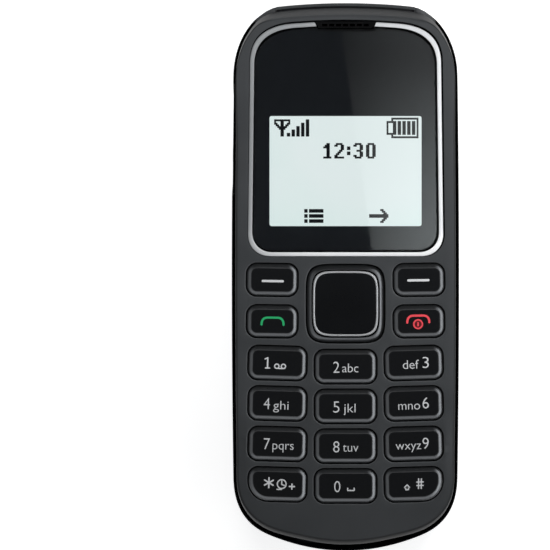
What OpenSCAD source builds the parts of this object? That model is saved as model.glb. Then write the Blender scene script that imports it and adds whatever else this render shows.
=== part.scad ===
// Candy-bar feature phone lying on its back, display up.
// +X is the phone's right, +Y its top end, +Z out of the display.
// The origin is the middle of the flat back face. Millimetres.

/* [Body] */
// Width over the back cover
body_w = 44.5; // [43:0.1:48]
// Length over the band
body_l = 107.1; // [106:0.1:112]
// Thickness from the back face to the flat front face
body_t = 15.2; // [15:0.1:17]
// Wall of the front cover's sides and of the back cover
wall = 1.3; // [1.1:0.05:1.4]
// Wall of the front cover's face
face_wall = 1.3; // [1.1:0.05:1.5]
// Shadow groove between the band and each cover
seam_gap = 0.35; // [0.2:0.05:0.5]
// Height of the band's middle line above the back face
band_z = 8.05; // [7.9:0.05:8.2]
// Visible height of the band
band_h = 2.2; // [1.8:0.1:2.6]
// How far the band lies inside the back cover's edge
band_inset = 0.3; // [0.1:0.05:0.5]
// How far the front cover's edge lies inside the back cover's edge
front_inset = 0.7; // [0.5:0.05:0.9]
// Radius of the front cover's upper edge
front_round = 0.7; // [0.3:0.1:1]
// How far the front cover's top end slopes back
top_slant = 1.35; // [0.6:0.05:1.8]
// Length of the chin that slopes down to the bottom end
chin_run = 9; // [6:0.5:11]
// How far the chin drops
chin_drop = 0.54; // [0.3:0.02:0.8]
// Draw-in of the back cover's long sides
back_round = 5.5; // [4.5:0.1:6]
// Draw-in of the back cover's ends
end_round = 9; // [7:0.5:10]
// Length over which the back's ends lift off the table
crown_run = 18; // [14:0.5:20]

/* [Side port] */
// Radius of the charging socket's mouth
port_r = 1.25; // [1:0.05:1.3]
// Distance from the top end to the socket
port_top = 24.45; // [23.5:0.05:25.5]
// Distance from the top end to the port pod's middle
pod_top = 26.55; // [26:0.05:27.5]
// Length of the pod where it is full height
pod_l = 15.8; // [14:0.2:17]
// Full height of the pod
pod_h = 4.9; // [4.6:0.1:5.4]
// Length of each flare that leads into the pod
pod_flare = 3.6; // [2.5:0.1:4]

/* [Torch] */
// Width of the torch cap on the top end
cap_w = 27; // [24:0.5:30]
// Height of the torch cap
cap_h = 7.0; // [6:0.1:7.4]
// Width of each flare that leads into the torch cap
cap_flare = 4.8; // [4:0.1:5.5]
// Thickness of the torch cap
cap_t = 1.6; // [1.2:0.1:2]
// Radius of the torch lens
torch_r = 2.2; // [1.5:0.1:2.6]

/* [Display] */
// Distance from the body's side to the silver trim
window_side = 3.15; // [2.9:0.05:3.6]
// Distance from the top end to the silver trim
window_top = 3.65; // [3.4:0.05:4.5]
// Distance from the soft keys' middle line up to the silver trim
window_gap = 4.75; // [4.65:0.05:5.2]
// Width of the silver trim's rim
trim_w = 0.85; // [0.6:0.05:1.1]
// How far the trim stands above the face
trim_proud = 0.1; // [0:0.05:0.2]
// Thickness of the clear window
lens_t = 1.4; // [1.2:0.05:1.5]
// Width of the viewing area
view_w = 29.7; // [28:0.1:30]
// Height of the viewing area
view_h = 21.5; // [20:0.1:22]
// Distance from the silver trim's lower edge up to the viewing area
view_gap = 5.75; // [5:0.05:6.5]
// Width of the earpiece slot
slot_w = 12.1; // [10:0.1:13]

/* [Keys] */
// Travel of a key
key_travel = 0.3; // [0.2:0.05:0.35]
// Gap round a key in its hole
key_gap = 0.25; // [0.2:0.05:0.3]
// How far a key's top stands above the face
key_proud = 0.3; // [0.2:0.05:0.5]
// Width of the sloping edge round a key's top
key_slope = 0.85; // [0.6:0.05:1]
// Corner radius of a key's hole
key_r = 2.1; // [1.6:0.1:2.6]
// Distance from the body's side to the outer columns' holes
key_side = 3.05; // [2.8:0.05:3.5]
// Width of a dial key's hole in the middle column
mid_w = 12.5; // [11.5:0.1:12.6]
// Height of a dial key's hole
dial_h = 7; // [6.5:0.1:7]
// Web of cover between the columns
key_web = 1.15; // [1.1:0.05:1.6]
// Distance from row to row
row_pitch = 7.9; // [7.9:0.05:8]
// Distance from the bottom end to the last dial row
chin_l = 13.05; // [12.5:0.05:14]
// How much lower the middle column lies in the first row
mid_drop = 0.7; // [0:0.1:0.8]
// How much less that is from row to row
mid_ease = 0.13; // [0:0.01:0.2]
// Tilt of the outer columns
dial_tilt = 1.6; // [0:0.2:2]
// Distance from the body's side to the soft and call keys' holes
soft_side = 2.75; // [2.7:0.05:3.2]
// Height of a soft key's or call key's hole
soft_h = 6.7; // [6:0.1:6.8]
// Web of cover between the navigation key and the keys beside it
nav_web = 1.35; // [1.2:0.05:1.8]
// Distance from the first dial row up to the call keys
call_gap = 8.15; // [7.9:0.05:8.6]
// Distance from the soft keys to the call keys
soft_pitch = 8.1; // [7.9:0.1:8.2]
// Width and length of the navigation key's hole
nav_w = 15.6; // [15:0.1:15.8]
// How far the navigation key lies below the middle of the keys beside it
nav_low = 0.6; // [0:0.1:0.7]
// Size of the navigation key's bright ring, outside
nav_ring_w = 12.8; // [12:0.1:13]
// Width of the bright ring's rim
nav_ring_t = 0.5; // [0.4:0.05:0.7]
// Most that the navigation key tilts each way, degrees
nav_tilt = 2; // [1:0.25:2]

/* [Inside] */
// Top of the circuit board above the back face
board_z = 10.4; // [10.3:0.05:10.5]
// Thickness of the circuit board
board_t = 0.8; // [0.6:0.1:0.8]
// Distance from the body's side to the battery
battery_side = 5.25; // [5.1:0.05:7]
// Length of the battery
battery_l = 53; // [51:0.5:53.5]
// Thickness of the battery
battery_t = 5.2; // [4.8:0.1:5.2]
// Distance from the bottom end to the battery
battery_end = 13.05; // [13:0.05:15]
// Clearance round pieces that drop into a pocket
fit_gap = 0.15; // [0.1:0.05:0.2]
// Radius of the vibration motor
motor_r = 2.2; // [2:0.1:2.3]
// Radius of the motor's shaft
shaft_r = 0.4; // [0.3:0.05:0.6]
// Running clearance of the shaft
run_gap = 0.04; // [0.02:0.01:0.08]

/* [Hidden] */
$fn = 32;

hw = body_w / 2;
hl = body_l / 2;
eps = 0.05;

// Places along and across the phone, from its ends and sides
port_y = hl - port_top;
pod_y = hl - pod_top;
dial_y = chin_l + 3 * row_pitch - hl;
soft_y = dial_y + call_gap + soft_pitch;
nav_y = soft_y - soft_pitch / 2 - nav_low;
window_y = soft_y + window_gap;
window_l = hl - window_top - window_y;
window_w = body_w - 2 * window_side;
view_y = window_y + view_gap + view_h / 2;
dial_w = hw - key_side - mid_w / 2 - key_web;
column_pitch = hw - key_side - dial_w / 2;
soft_w = hw - soft_side - nav_w / 2 - nav_web;
soft_x = hw - soft_side - soft_w / 2;
battery_w = body_w - 2 * battery_side;
battery_y = battery_end + battery_l / 2 - hl;
battery_head = battery_y + battery_l / 2;

// Corner sizes of the body's outline, from the sides and ends, and how long their handles are, as a share
top_corner = [9.1, 14];
top_crown = 0.68;
top_handles = [0.38, 0.58];
bottom_corner = [7.6, 14.5];
bottom_crown = 2.96;
bottom_handles = [0.54, 0.47];
side_bow = 0.3;

// Heights above the back face
band_low = band_z - band_h / 2;
band_top = band_z + band_h / 2;
back_rim = band_low - seam_gap;
front_rim = band_top + seam_gap;
face_in = body_t - face_wall;
lens_seat = body_t - lens_t - 0.1;
plate_t = 0.9;
plate_in = lens_seat - plate_t;
board_low = board_z - board_t;
film_t = 0.1;
dome_h = 0.25;
dome_r = 2;
dome_top = board_z + film_t + dome_h;
flange_t = 0.5;
flange_over = 0.3;
flange_top = face_in - eps;
mat_top = flange_top - flange_t - key_travel - 0.1;
key_top = body_t + key_proud;
key_edge = body_t - 0.45;
plunger_r = 1.6;
plunger_low = dome_top + key_travel + eps;
plunger_hole_r = dome_r + 0.3;
floor_t = 0.7;
floor_top = band_z - 0.05;
floor_low = floor_top - floor_t;
battery_top = floor_low - fit_gap;
battery_low = battery_top - battery_t;
back_wall = wall - 0.1;
crown_h = 1.2;
lip_gap = 0.15;
lip_in = front_inset + wall + lip_gap + 0.1;
cover_gap = 0.25;
lip_h = 1;
lip_t = 1;
slot_depth = 1.6;
slot_taper = 0.75;
top_depth = 7;

// A cubic curve from p to s with handles q and r, without its last point
function cubic(p, q, r, s, n) = [for (k = [0 : n - 1])
    let (t = k / n, u = 1 - t) u*u*u*p + 3*u*u*t*q + 3*u*t*t*r + t*t*t*s];
// A quadratic curve from p to r with its handle at q, without its last point
function quadratic(p, q, r, n) = [for (k = [0 : n - 1])
    let (t = k / n, u = 1 - t) u*u*p + 2*u*t*q + t*t*r];
// The right half of an outline, and its mirror image after it
function both_sides(half) = concat(half, [for (k = [len(half) - 2 : -1 : 1]) [-half[k].x, half[k].y]]);

// The body's outline at the back cover's edge
function body_half() =
    let (b1 = [hw - bottom_corner.x, bottom_crown - hl],
         b2 = [hw - side_bow, bottom_corner.y - hl],
         t1 = [hw - side_bow, hl - top_corner.y],
         t2 = [hw - top_corner.x, hl - top_crown],
         b_slope = 2 * bottom_crown / b1.x,
         t_slope = 2 * top_crown / t2.x)
    concat(
        quadratic([0, -hl], [b1.x / 2, -hl], b1, 5),
        cubic(b1, b1 + bottom_handles.x * bottom_corner.x * [1, b_slope],
            b2 - [0.05, bottom_handles.y * bottom_corner.y], b2, 9),
        quadratic(b2, [hw + side_bow, (b2.y + t1.y) / 2], t1, 5),
        cubic(t1, t1 + [-0.18, top_handles.y * top_corner.y],
            t2 + top_handles.x * top_corner.x * [1, -t_slope], t2, 9),
        quadratic(t2, [t2.x / 2, hl], [0, hl], 5),
        [[0, hl]]);
BODY = both_sides(body_half());
// The outline drawn in by side, top and bottom amounts
function drawn_in(side, top, bottom) = [for (p = BODY)
    [p.x * (hw - side) / hw, (p.y + hl) * (body_l - top - bottom) / body_l - hl + bottom]];
function inset(d) = drawn_in(d, d, d);
function at(points, z) = [for (p = points) [p.x, p.y, z]];

// A rectangle with corner radii [lower right, upper right, upper left, lower left]
function round_rect(w, h, radii, n = 5) = [for (c = [0 : 3])
    let (sx = (c == 0 || c == 1) ? 1 : -1, sy = (c == 1 || c == 2) ? 1 : -1, r = radii[c])
    for (k = [0 : n])
        let (a = -90 + 90 * c + 90 * k / n)
        [sx * (w / 2 - r) + r * cos(a), sy * (h / 2 - r) + r * sin(a)]];
function turned(points, angle) = [for (p = points)
    [p.x * cos(angle) - p.y * sin(angle), p.x * sin(angle) + p.y * cos(angle)]];
function moved(points, by) = [for (p = points) p + by];

// A closed skin over rings of equally many points, from the lowest up
module loft(rings) {
    n = len(rings[0]);
    last = (len(rings) - 1) * n;
    polyhedron(
        points = [for (r = rings) each r],
        faces = concat(
            [[for (k = [0 : n - 1]) k]],
            [[for (k = [n - 1 : -1 : 0]) last + k]],
            [for (j = [0 : len(rings) - 2]) for (k = [0 : n - 1])
                let (a = j * n + k, d = j * n + (k + 1) % n)
                each [[a, a + n, d + n], [a, d + n, d]]]));
}
module slab(points, low, high) {
    translate([0, 0, low]) linear_extrude(high - low) polygon(points);
}
module block(size, centre) {
    translate([centre.x - size.x / 2, centre.y - size.y / 2, centre.z]) cube(size);
}

// A wide part of the band: full height over its middle, flaring down to the band, grown by a gap
function ease(t) = t * t * (3 - 2 * t);
function flared(half_l, flare, h, grow) =
    let (steps = 8, low = band_h / 2 - eps + grow, rise = (h - band_h) / 2 + eps,
         right = [for (k = [0 : steps]) let (t = k / steps) [half_l + grow + t * flare, low + ease(1 - t) * rise]],
         top = concat([for (k = [steps : -1 : 0]) [-right[k].x, right[k].y]], right))
    concat(top, [for (k = [len(top) - 1 : -1 : 0]) [top[k].x, -top[k].y]]);
function pod_outline(grow) = flared(pod_l / 2, pod_flare, pod_h, grow);
// The pod as a bar along X through the left side
module pod_bar(grow, depth) {
    translate([-hw - 1, pod_y, band_z]) rotate([90, 0, 90])
        linear_extrude(depth + 1) polygon(pod_outline(grow));
}
// The band's wide part on the top end, with the torch cap in its middle, as a bar along Y
function top_outline(grow) = flared(cap_w / 2, cap_flare, cap_h, grow);
module top_bar(grow, depth) {
    translate([0, hl + 1, band_z]) rotate([90, 0, 0])
        linear_extrude(depth + 1) polygon(top_outline(grow));
}

// The silver trim's outline, drawn in by d
function window_half(d) =
    let (w = window_w / 2 - d, low = window_y + d, high = window_y + window_l - d,
         foot = 4.4 - d / 2, lean = 0.4, crown = 0.5, shoulder = [9.6 - d / 2, 8.2 - d / 2],
         t1 = [w - lean, high - shoulder.y], t2 = [w - lean - shoulder.x, high - crown])
    concat(
        [[0, low]],
        cubic([w - foot, low], [w - 0.4 * foot, low], [w, low + 0.4 * foot], [w, low + foot], 7),
        cubic(t1, t1 + [0, 0.62 * shoulder.y], t2 + [0.55 * shoulder.x, -0.15], t2, 9),
        quadratic(t2, [t2.x / 2, high], [0, high], 4),
        [[0, high]]);
function window(d) = both_sides(window_half(d));
// Earpiece slot: a trapezium that breaks the trim at the top, grown by a gap
function slot_outline(grow) =
    let (high = window_y + window_l + 0.2, low = high - slot_depth)
    [[-slot_w / 2 + slot_taper - grow, low - grow], [slot_w / 2 - slot_taper + grow, low - grow],
     [slot_w / 2 + grow, high + grow], [-slot_w / 2 - grow, high + grow]];

// Places of the keys
soft_r = 2.2;
COLUMNS = [0, 1, 2];
function dial_place(c, r) = [(c - 1) * column_pitch, dial_y - r * row_pitch - (c == 1 ? mid_drop - r * mid_ease : 0)];
function tilt_of(x) = x == 0 ? 0 : (x < 0 ? -1 : 1);
// The lower outer corners of the last row follow the body's round corner
corner_key_r = 4.2;
function dial_radii(c, r) = [(r == 3 && c == 2) ? corner_key_r : key_r, key_r, key_r,
    (r == 3 && c == 0) ? corner_key_r : key_r];
// A hole's outline, grown or drawn in by d
function dial_outline(c, r, d) = let (w = (c == 1 ? mid_w : dial_w), rr = dial_radii(c, r))
    moved(turned(round_rect(w + 2 * d, dial_h + 2 * d, [for (q = rr) q + d]), tilt_of(c - 1) * dial_tilt),
        dial_place(c, r));
function soft_place(side, row) = [side * soft_x, soft_y - row * soft_pitch];
function soft_outline(side, row, d) = moved(turned(round_rect(soft_w + 2 * d, soft_h + 2 * d,
    [for (k = [0 : 3]) soft_r + d]), side * dial_tilt / 2), soft_place(side, row));
// A bowed square with soft corners
nav_power = 5;
function bow(v) = sign(v) * pow(abs(v), 2 / nav_power);
function nav_outline(w) = [for (k = [0 : 39]) [0, nav_y] + w / 2 * [bow(cos(9 * k)), bow(sin(9 * k))]];
function nav_plunger(k) = [0, nav_y] + 5.2 * [cos(90 * k), sin(90 * k)];
PLUNGERS = concat(
    [for (r = [0 : 3]) for (c = COLUMNS) dial_place(c, r)],
    [for (s = [-1, 1]) for (r = [0, 1]) soft_place(s, r)],
    [for (k = [0 : 3]) nav_plunger(k)]);

// Screws run up through the frame and the board into the front cover's bosses
screw_top = [hw - 6.65, hl - 7.95];
screw_bottom = [hw - 12.75, 6.65 - hl];
SCREWS = [for (s = [-1, 1]) each [[s * screw_top.x, screw_top.y], [s * screw_bottom.x, screw_bottom.y]]];
screw_r = 0.7;
screw_head_r = 1.3;
boss_r = 1.7;

// Front cover's outside: upright sides with a round edge, a sloping top end and a chin
top_step = 0.3;
chin_round = 1.4;
slant_from = 0.36;
function front_ring(z) = let (
        h = body_t - front_rim,
        up = max(0, min(1, (z - front_rim) / h)),
        bend = max(0, min(1, (z - body_t + front_round) / front_round)),
        edge = front_round * (1 - sqrt(1 - bend * bend)),
        slant = top_slant * max(0, (up - slant_from) / (1 - slant_from)),
        tuck = chin_round * pow(max(0, (up - 0.4) / 0.5), 2),
        chin = chin_run * pow(max(0, min(1, (z - body_t + chin_drop) / chin_drop)), 1.3))
    at(drawn_in(front_inset + 0.06 * up + edge, front_inset + top_step + slant + edge,
        front_inset - 0.05 + min(tuck, chin_round) + chin), z);
FRONT_LEVELS = [0, 0.36, 0.6, 0.8, 0.88, 0.905, 0.93, 0.955, 0.975, 0.99, 1];

module front_cover() color([0.23, 0.24, 0.25]) {
    difference() {
        union() {
            difference() {
                loft([for (f = FRONT_LEVELS) front_ring(front_rim + f * (body_t - front_rim))]);
                loft([for (f = [-0.1, 0.4, 0.75, 1]) let (z = front_rim + f * (face_in - front_rim))
                    at(drawn_in(front_inset + wall + 0.15 * max(0, f), front_inset + wall + 0.3 + 1.2 * max(0, f),
                        front_inset + wall + 0.9 * max(0, f)), z)]);
            }
            slab(window(-0.45), plate_in, face_in + 0.4);
            for (s = SCREWS) translate([s.x, s.y, board_z])
                cylinder(r = boss_r, h = (s.y > 0 ? plate_in : face_in) - board_z + 0.3);
        }
        slab(window(-fit_gap / 2), lens_seat, body_t + 1);
        slab(slot_outline(0), lens_seat, body_t + 1);
        block([view_w + 3, view_h + 3, 3], [0, view_y, plate_in - 1]);
        block([slot_w - 4, 0.8, 3], [0, window_y + window_l - 0.7, plate_in - 1]);
        for (r = [0 : 3]) for (c = COLUMNS) slab(dial_outline(c, r, 0), face_in - 1, body_t + 1);
        for (s = [-1, 1]) for (r = [0, 1]) slab(soft_outline(s, r, 0), face_in - 1, body_t + 1);
        slab(nav_outline(nav_w), face_in - 1, body_t + 1);
        pod_bar(seam_gap, 6);
        top_bar(seam_gap, top_depth);
        for (s = SCREWS) translate([s.x, s.y, board_z - 1]) cylinder(r = screw_r, h = 2.6);
    }
}

module window_lens() color([0.75, 0.8, 0.82, 0.4]) {
    difference() {
        slab(window(trim_w + fit_gap), lens_seat + film_t, lens_seat + lens_t);
        slab(slot_outline(fit_gap), lens_seat, body_t);
    }
}

module window_mask() color([0.03, 0.03, 0.035]) {
    difference() {
        slab(window(trim_w + fit_gap), lens_seat, lens_seat + film_t);
        slab(slot_outline(fit_gap), lens_seat - 1, body_t);
        slab(moved(round_rect(view_w, view_h, [0.4, 0.4, 0.4, 0.4]), [0, view_y]), lens_seat - 1, body_t);
    }
}

module bezel_trim() color([0.78, 0.79, 0.8]) {
    difference() {
        slab(window(0), lens_seat, body_t + trim_proud);
        slab(window(trim_w), lens_seat - 1, body_t + 1);
        slab(slot_outline(fit_gap), lens_seat - 1, body_t + 1);
    }
}

module earpiece_grille() color([0.05, 0.05, 0.055]) {
    high = window_y + window_l;
    difference() {
        slab(slot_outline(-fit_gap), lens_seat, body_t - 0.25);
        for (k = [-3 : 3]) block([1, 0.5, 3], [1.35 * k, high - 0.65, lens_seat - 1]);
    }
}

// Band that shows between the covers, with the tray that carries the board and the battery
module middle_frame() color([0.17, 0.175, 0.185]) {
    bay = [battery_w + 2 * fit_gap, battery_l + 2 * fit_gap];
    bay_wall = 1;
    difference() {
        union() {
            slab(inset(band_inset), band_low, band_top);
            slab(inset(wall + cover_gap), band_low - lip_h, band_low + eps);
            slab(drawn_in(lip_in, lip_in + 0.6, lip_in + 0.4), band_top - eps, band_top + lip_h);
            intersection() {
                slab(inset(band_inset), band_z - pod_h / 2 - 1, band_z + pod_h / 2 + 1);
                pod_bar(0, 4);
            }
            intersection() {
                slab(inset(band_inset), band_z - cap_h / 2 - 1, band_z + cap_h / 2 + 1);
                top_bar(0, top_depth - seam_gap);
            }
            block([bay.x + 2 * bay_wall, bay.y + 2 * bay_wall, floor_low - battery_low - 0.5],
                [0, battery_y, battery_low + 1.2]);
            for (s = SCREWS) translate([s.x, s.y, band_low - lip_h])
                cylinder(r = boss_r, h = board_low - band_low + lip_h);
        }
        // Room above the tray's floor, open to the front
        difference() {
            slab(inset(lip_in + lip_t + 0.2), floor_top, body_t);
            for (s = SCREWS) translate([s.x, s.y, 0]) cylinder(r = boss_r, h = board_low);
        }
        // Room below the floor, beside the battery bay
        difference() {
            slab(inset(wall + cover_gap + lip_t), -1, floor_low);
            block([bay.x + 2 * bay_wall, bay.y + 2 * bay_wall, floor_low - battery_low - 0.5],
                [0, battery_y, battery_low + 1.2]);
            for (s = SCREWS) translate([s.x, s.y, 0]) cylinder(r = boss_r, h = body_t);
        }
        block([bay.x, bay.y, battery_top + fit_gap - battery_low + 1], [0, battery_y, battery_low - 1]);
        // Places cut through for the torch cap, socket, card holder, contacts and microphone
        difference() {
            block([cap_w + 2 * fit_gap, 20, body_t], [0, hl, 0]);
            slab(inset(cap_t + fit_gap), 0, body_t);
        }
        port_hole();
        block([jack_l + 2 * fit_gap, jack_w + 2 * fit_gap, 20], [jack_x, port_y, 0]);
        block([sim_w + 2, sim_l + 3, 3], [0, sim_y, floor_low - 1]);
        block([contact_w + 2 * fit_gap, contact_l + 2 * fit_gap, 20], [0, contact_y, 0]);
        for (k = [-1 : 1]) block([1.6, 3, 1.4], [contact_pitch * k, battery_head + 0.8, contact_z - 0.3]);
        block([led_w + 1, 12, led_h + 0.6], [0, hl - cap_t, band_z - led_h / 2 - 0.3]);
        translate([0, -hl - 1, mic_z]) rotate([-90, 0, 0]) cylinder(r = mic_hole_r, h = 6);
        for (s = SCREWS) translate([s.x, s.y, 0]) cylinder(r = screw_r + fit_gap, h = body_t);
    }
}
module port_hole() {
    translate([-hw - 1, port_y, band_z]) rotate([0, 90, 0]) cylinder(r = port_r, h = 6);
}

module torch_cap() color([0.03, 0.03, 0.03]) {
    difference() {
        intersection() {
            slab(BODY, band_z - cap_h / 2 - 1, band_z + cap_h / 2 + 1);
            difference() {
                top_bar(0, 8);
                slab(inset(cap_t), 0, body_t);
            }
            block([cap_w, 20, cap_h], [0, hl, band_z - cap_h / 2]);
        }
        translate([0, hl - 5, band_z]) rotate([-90, 0, 0]) cylinder(r = torch_r + fit_gap, h = 10);
    }
}

module torch_lens() color([0.85, 0.87, 0.88, 0.5]) {
    translate([0, hl - cap_t, band_z]) rotate([-90, 0, 0]) cylinder(r = torch_r, h = cap_t - 0.15);
}

led_w = 3;
led_h = 1.6;
module torch_led() color([0.9, 0.88, 0.7]) {
    block([led_w, 2, led_h], [0, hl - cap_t - 1.4, band_z - led_h / 2]);
}

// Back cover's outside: round sides and ends, and a flat middle to rest on
rim_round = 0.3;
function back_ring(z) = let (
        k = max(0, 1 - z / (back_rim - rim_round)),
        bend = 1 - sqrt(max(0, 1 - k * k)),
        lift = pow(max(0, 1 - z / crown_h), 2) * crown_run,
        roll = max(0, z - back_rim + rim_round) / rim_round,
        rim = rim_round * (1 - sqrt(1 - min(1, roll * roll))))
    at(drawn_in(rim + back_round * bend, rim + end_round * bend + lift, rim + end_round * bend + lift), z);
BACK_LEVELS = concat([0, 0.1, 0.25, 0.45, 0.7, 1.05, 1.5, 2.2, 3.1, 4.2, 5.3],
    [for (f = [1, 0.4, 0.12, 0.02]) back_rim - f * rim_round]);

module back_cover() color([0.24, 0.245, 0.255]) {
    depth = back_rim - back_wall;
    difference() {
        loft([for (z = BACK_LEVELS) back_ring(z)]);
        loft([for (f = [0, 0.06, 0.16, 0.34, 0.58, 0.8, 1]) let (z = f * depth)
            at(drawn_in(wall + back_round * (1 - sqrt(1 - pow(1 - f, 2))),
                wall + end_round * (1 - sqrt(1 - pow(1 - f, 2))) + 3 * pow(1 - f, 4),
                wall + end_round * (1 - sqrt(1 - pow(1 - f, 2))) + 3 * pow(1 - f, 4)),
                back_wall + z + (f == 1 ? 0.2 : 0))]);
        pod_bar(seam_gap, 6);
        top_bar(seam_gap, top_depth);
        for (k = [-1 : 1]) slab(moved(round_rect(8, 0.9, [0.44, 0.44, 0.44, 0.44]),
            [0, speaker_y + 1.8 * k]), -1, back_wall + 2);
    }
}

module battery() color([0.35, 0.36, 0.38]) {
    slab(moved(round_rect(battery_w, battery_l, [2.4, 2.4, 2.4, 2.4]), [0, battery_y]), battery_low, battery_top);
}

contact_w = 11;
contact_pitch = 3.4;
contact_z = 5.5;
contact_l = 2.4;
contact_y = battery_head + 1 + fit_gap * 2 + 0.9 + contact_l / 2;
module contact_block() color([0.08, 0.08, 0.085]) {
    difference() {
        block([contact_w, contact_l, board_low - 4], [0, contact_y, 4]);
        for (k = [-1 : 1]) block([1.5, 1.2, 2.8],
            [contact_pitch * k, contact_y - contact_l / 2 + 0.4, contact_z - 0.9]);
    }
}
module battery_contacts() color([0.85, 0.72, 0.35]) {
    tip = battery_head + 0.1;
    for (k = [-1 : 1]) block([1.2, contact_y - contact_l / 2 + 0.9 - tip, 0.8],
        [contact_pitch * k, (contact_y - contact_l / 2 + 0.9 + tip) / 2, contact_z]);
}

board_in = front_inset + wall + lip_gap + lip_t + 0.5;
module main_board() color([0.1, 0.33, 0.22]) {
    difference() {
        slab(inset(board_in), board_low, board_z);
        block([jack_l + 0.6, jack_w + 0.6, 3], [jack_x, port_y, board_low - 1]);
        for (s = SCREWS) translate([s.x, s.y, 0]) cylinder(r = screw_r + fit_gap, h = body_t);
    }
}
// Cans over the radio parts, between the battery contacts and the top chips, and below the card holder
can_gap = 0.9;
can_w = 12;
module can(x, w, low, high) {
    h = board_low - floor_top - 0.1;
    block([w, high - low, h], [x, (low + high) / 2, board_low - h]);
}
module shield_cans() color([0.7, 0.71, 0.72]) {
    low = contact_y + contact_l / 2 + can_gap;
    side_w = -jack_x - jack_l / 2 - 1.5 * can_gap;
    for (s = [-1, 1])
        can(s * (side_w + can_gap) / 2, side_w, low, chip_y - chip_w / 2 - can_gap);
    can(0, 2 * can_w, battery_y - battery_l / 2 + 4.5, sim_y - sim_l / 2 - can_gap);
}
chip_w = 6;
chip_y = hl - 14;
module chips() color([0.06, 0.06, 0.065]) {
    chip_t = 0.9;
    for (s = [-1, 1]) {
        block([chip_w, chip_w, chip_t], [s * 8, chip_y, board_low - chip_t]);
        block([4, 5, chip_t], [s * (sim_w / 2 + can_gap + 2), battery_head - 1, board_low - chip_t]);
    }
    block([9, 5, chip_t], [0, 10 - hl, board_low - chip_t]);
}
module key_leds() color([0.95, 0.95, 0.85]) {
    for (r = [0 : 2]) for (s = [-1, 1])
        block([1, 1, 0.5], [s * column_pitch / 2, dial_y - (r + 0.5) * row_pitch, board_z + film_t]);
}

// Film with one snap dome under each plunger
module dome_sheet() color([0.8, 0.78, 0.7]) {
    difference() {
        slab(mat_outline(), board_z, board_z + film_t);
        for (s = SCREWS) translate([s.x, s.y, 0]) cylinder(r = boss_r + fit_gap, h = body_t);
    }
    for (p = PLUNGERS) translate([p.x, p.y, board_z + film_t - eps])
        cylinder(r1 = dome_r, r2 = 0.9, h = dome_h + eps);
}
// Keypad's share of the board's outline
mat_high = window_y - 0.75;
function mat_outline() = [for (p = inset(board_in + 0.2)) [p.x, min(p.y, mat_high)]];
module keymat() color([0.3, 0.3, 0.31]) {
    difference() {
        slab(mat_outline(), board_z + film_t, mat_top);
        for (p = PLUNGERS) translate([p.x, p.y, 0]) cylinder(r = plunger_hole_r, h = body_t);
        translate([0, nav_y, 0]) cylinder(r = fulcrum_r + 0.4, h = body_t);
        slab(nav_outline(nav_w + 1.4), nav_flange_top - flange_t - nav_sweep - 0.3, body_t);
        for (r = [0 : 2]) for (s = [-1, 1])
            block([1.6, 1.6, 0.9], [s * column_pitch / 2, dial_y - (r + 0.5) * row_pitch, board_z]);
        for (s = SCREWS) translate([s.x, s.y, 0]) cylinder(r = boss_r + fit_gap, h = body_t);
    }
}

// A key from its hole's outline at several draw-ins: flange, stem, sloping edge and top
module key_cap(flange, stem, shoulder, top, place) {
    slab(flange, flange_top - flange_t, flange_top);
    loft([at(stem, flange_top - eps), at(stem, key_edge), at(shoulder, key_top - 0.12), at(top, key_top)]);
    translate([place.x, place.y, plunger_low]) cylinder(r = plunger_r, h = flange_top - plunger_low - eps);
}
module dial_key(c, r) color([0.09, 0.092, 0.1])
    key_cap(dial_outline(c, r, flange_over), dial_outline(c, r, -key_gap),
        dial_outline(c, r, -key_gap - key_slope), dial_outline(c, r, -key_gap - key_slope - 0.35),
        dial_place(c, r));
module soft_key(side, row) color([0.09, 0.092, 0.1])
    key_cap(soft_outline(side, row, flange_over), soft_outline(side, row, -key_gap),
        soft_outline(side, row, -key_gap - key_slope), soft_outline(side, row, -key_gap - key_slope - 0.35),
        soft_place(side, row));

// Navigation key: a rocking rim with a bright ring and a plate set into it
nav_sweep = (nav_w / 2 + 1) * sin(nav_tilt);
nav_drop = nav_sweep + 0.3;
nav_flange_top = face_in - nav_drop;
nav_rim_top = body_t + 0.1;
nav_seat = body_t - 0.9;
fulcrum_r = 1.5;
module nav_rim() color([0.15, 0.155, 0.165]) {
    stem = nav_w - 2 * key_gap;
    difference() {
        union() {
            slab(nav_outline(nav_w + 0.4), nav_flange_top - flange_t, nav_flange_top);
            loft([at(nav_outline(stem), nav_flange_top - eps),
                at(nav_outline(stem), body_t - 0.4),
                at(nav_outline(nav_ring_w + 0.5), nav_rim_top)]);
            for (k = [0 : 3]) translate([nav_plunger(k).x, nav_plunger(k).y, plunger_low])
                cylinder(r = plunger_r, h = nav_flange_top - plunger_low - eps);
        }
        slab(nav_outline(nav_ring_w + 0.1), nav_seat, body_t + 1);
    }
}
module nav_ring() color([0.8, 0.81, 0.82]) {
    difference() {
        slab(nav_outline(nav_ring_w), nav_seat, body_t + 0.25);
        slab(nav_outline(nav_ring_w - 2 * nav_ring_t), nav_seat - 1, body_t + 1);
    }
}
module nav_plate() color([0.06, 0.062, 0.07]) {
    slab(nav_outline(nav_ring_w - 2 * nav_ring_t - 0.1), nav_seat, body_t + 0.1);
}
module nav_fulcrum() color([0.3, 0.3, 0.31]) {
    low = board_z + film_t + 0.15;
    translate([0, nav_y, low]) cylinder(r = fulcrum_r, h = nav_flange_top - flange_t - 0.1 - low);
}

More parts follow.
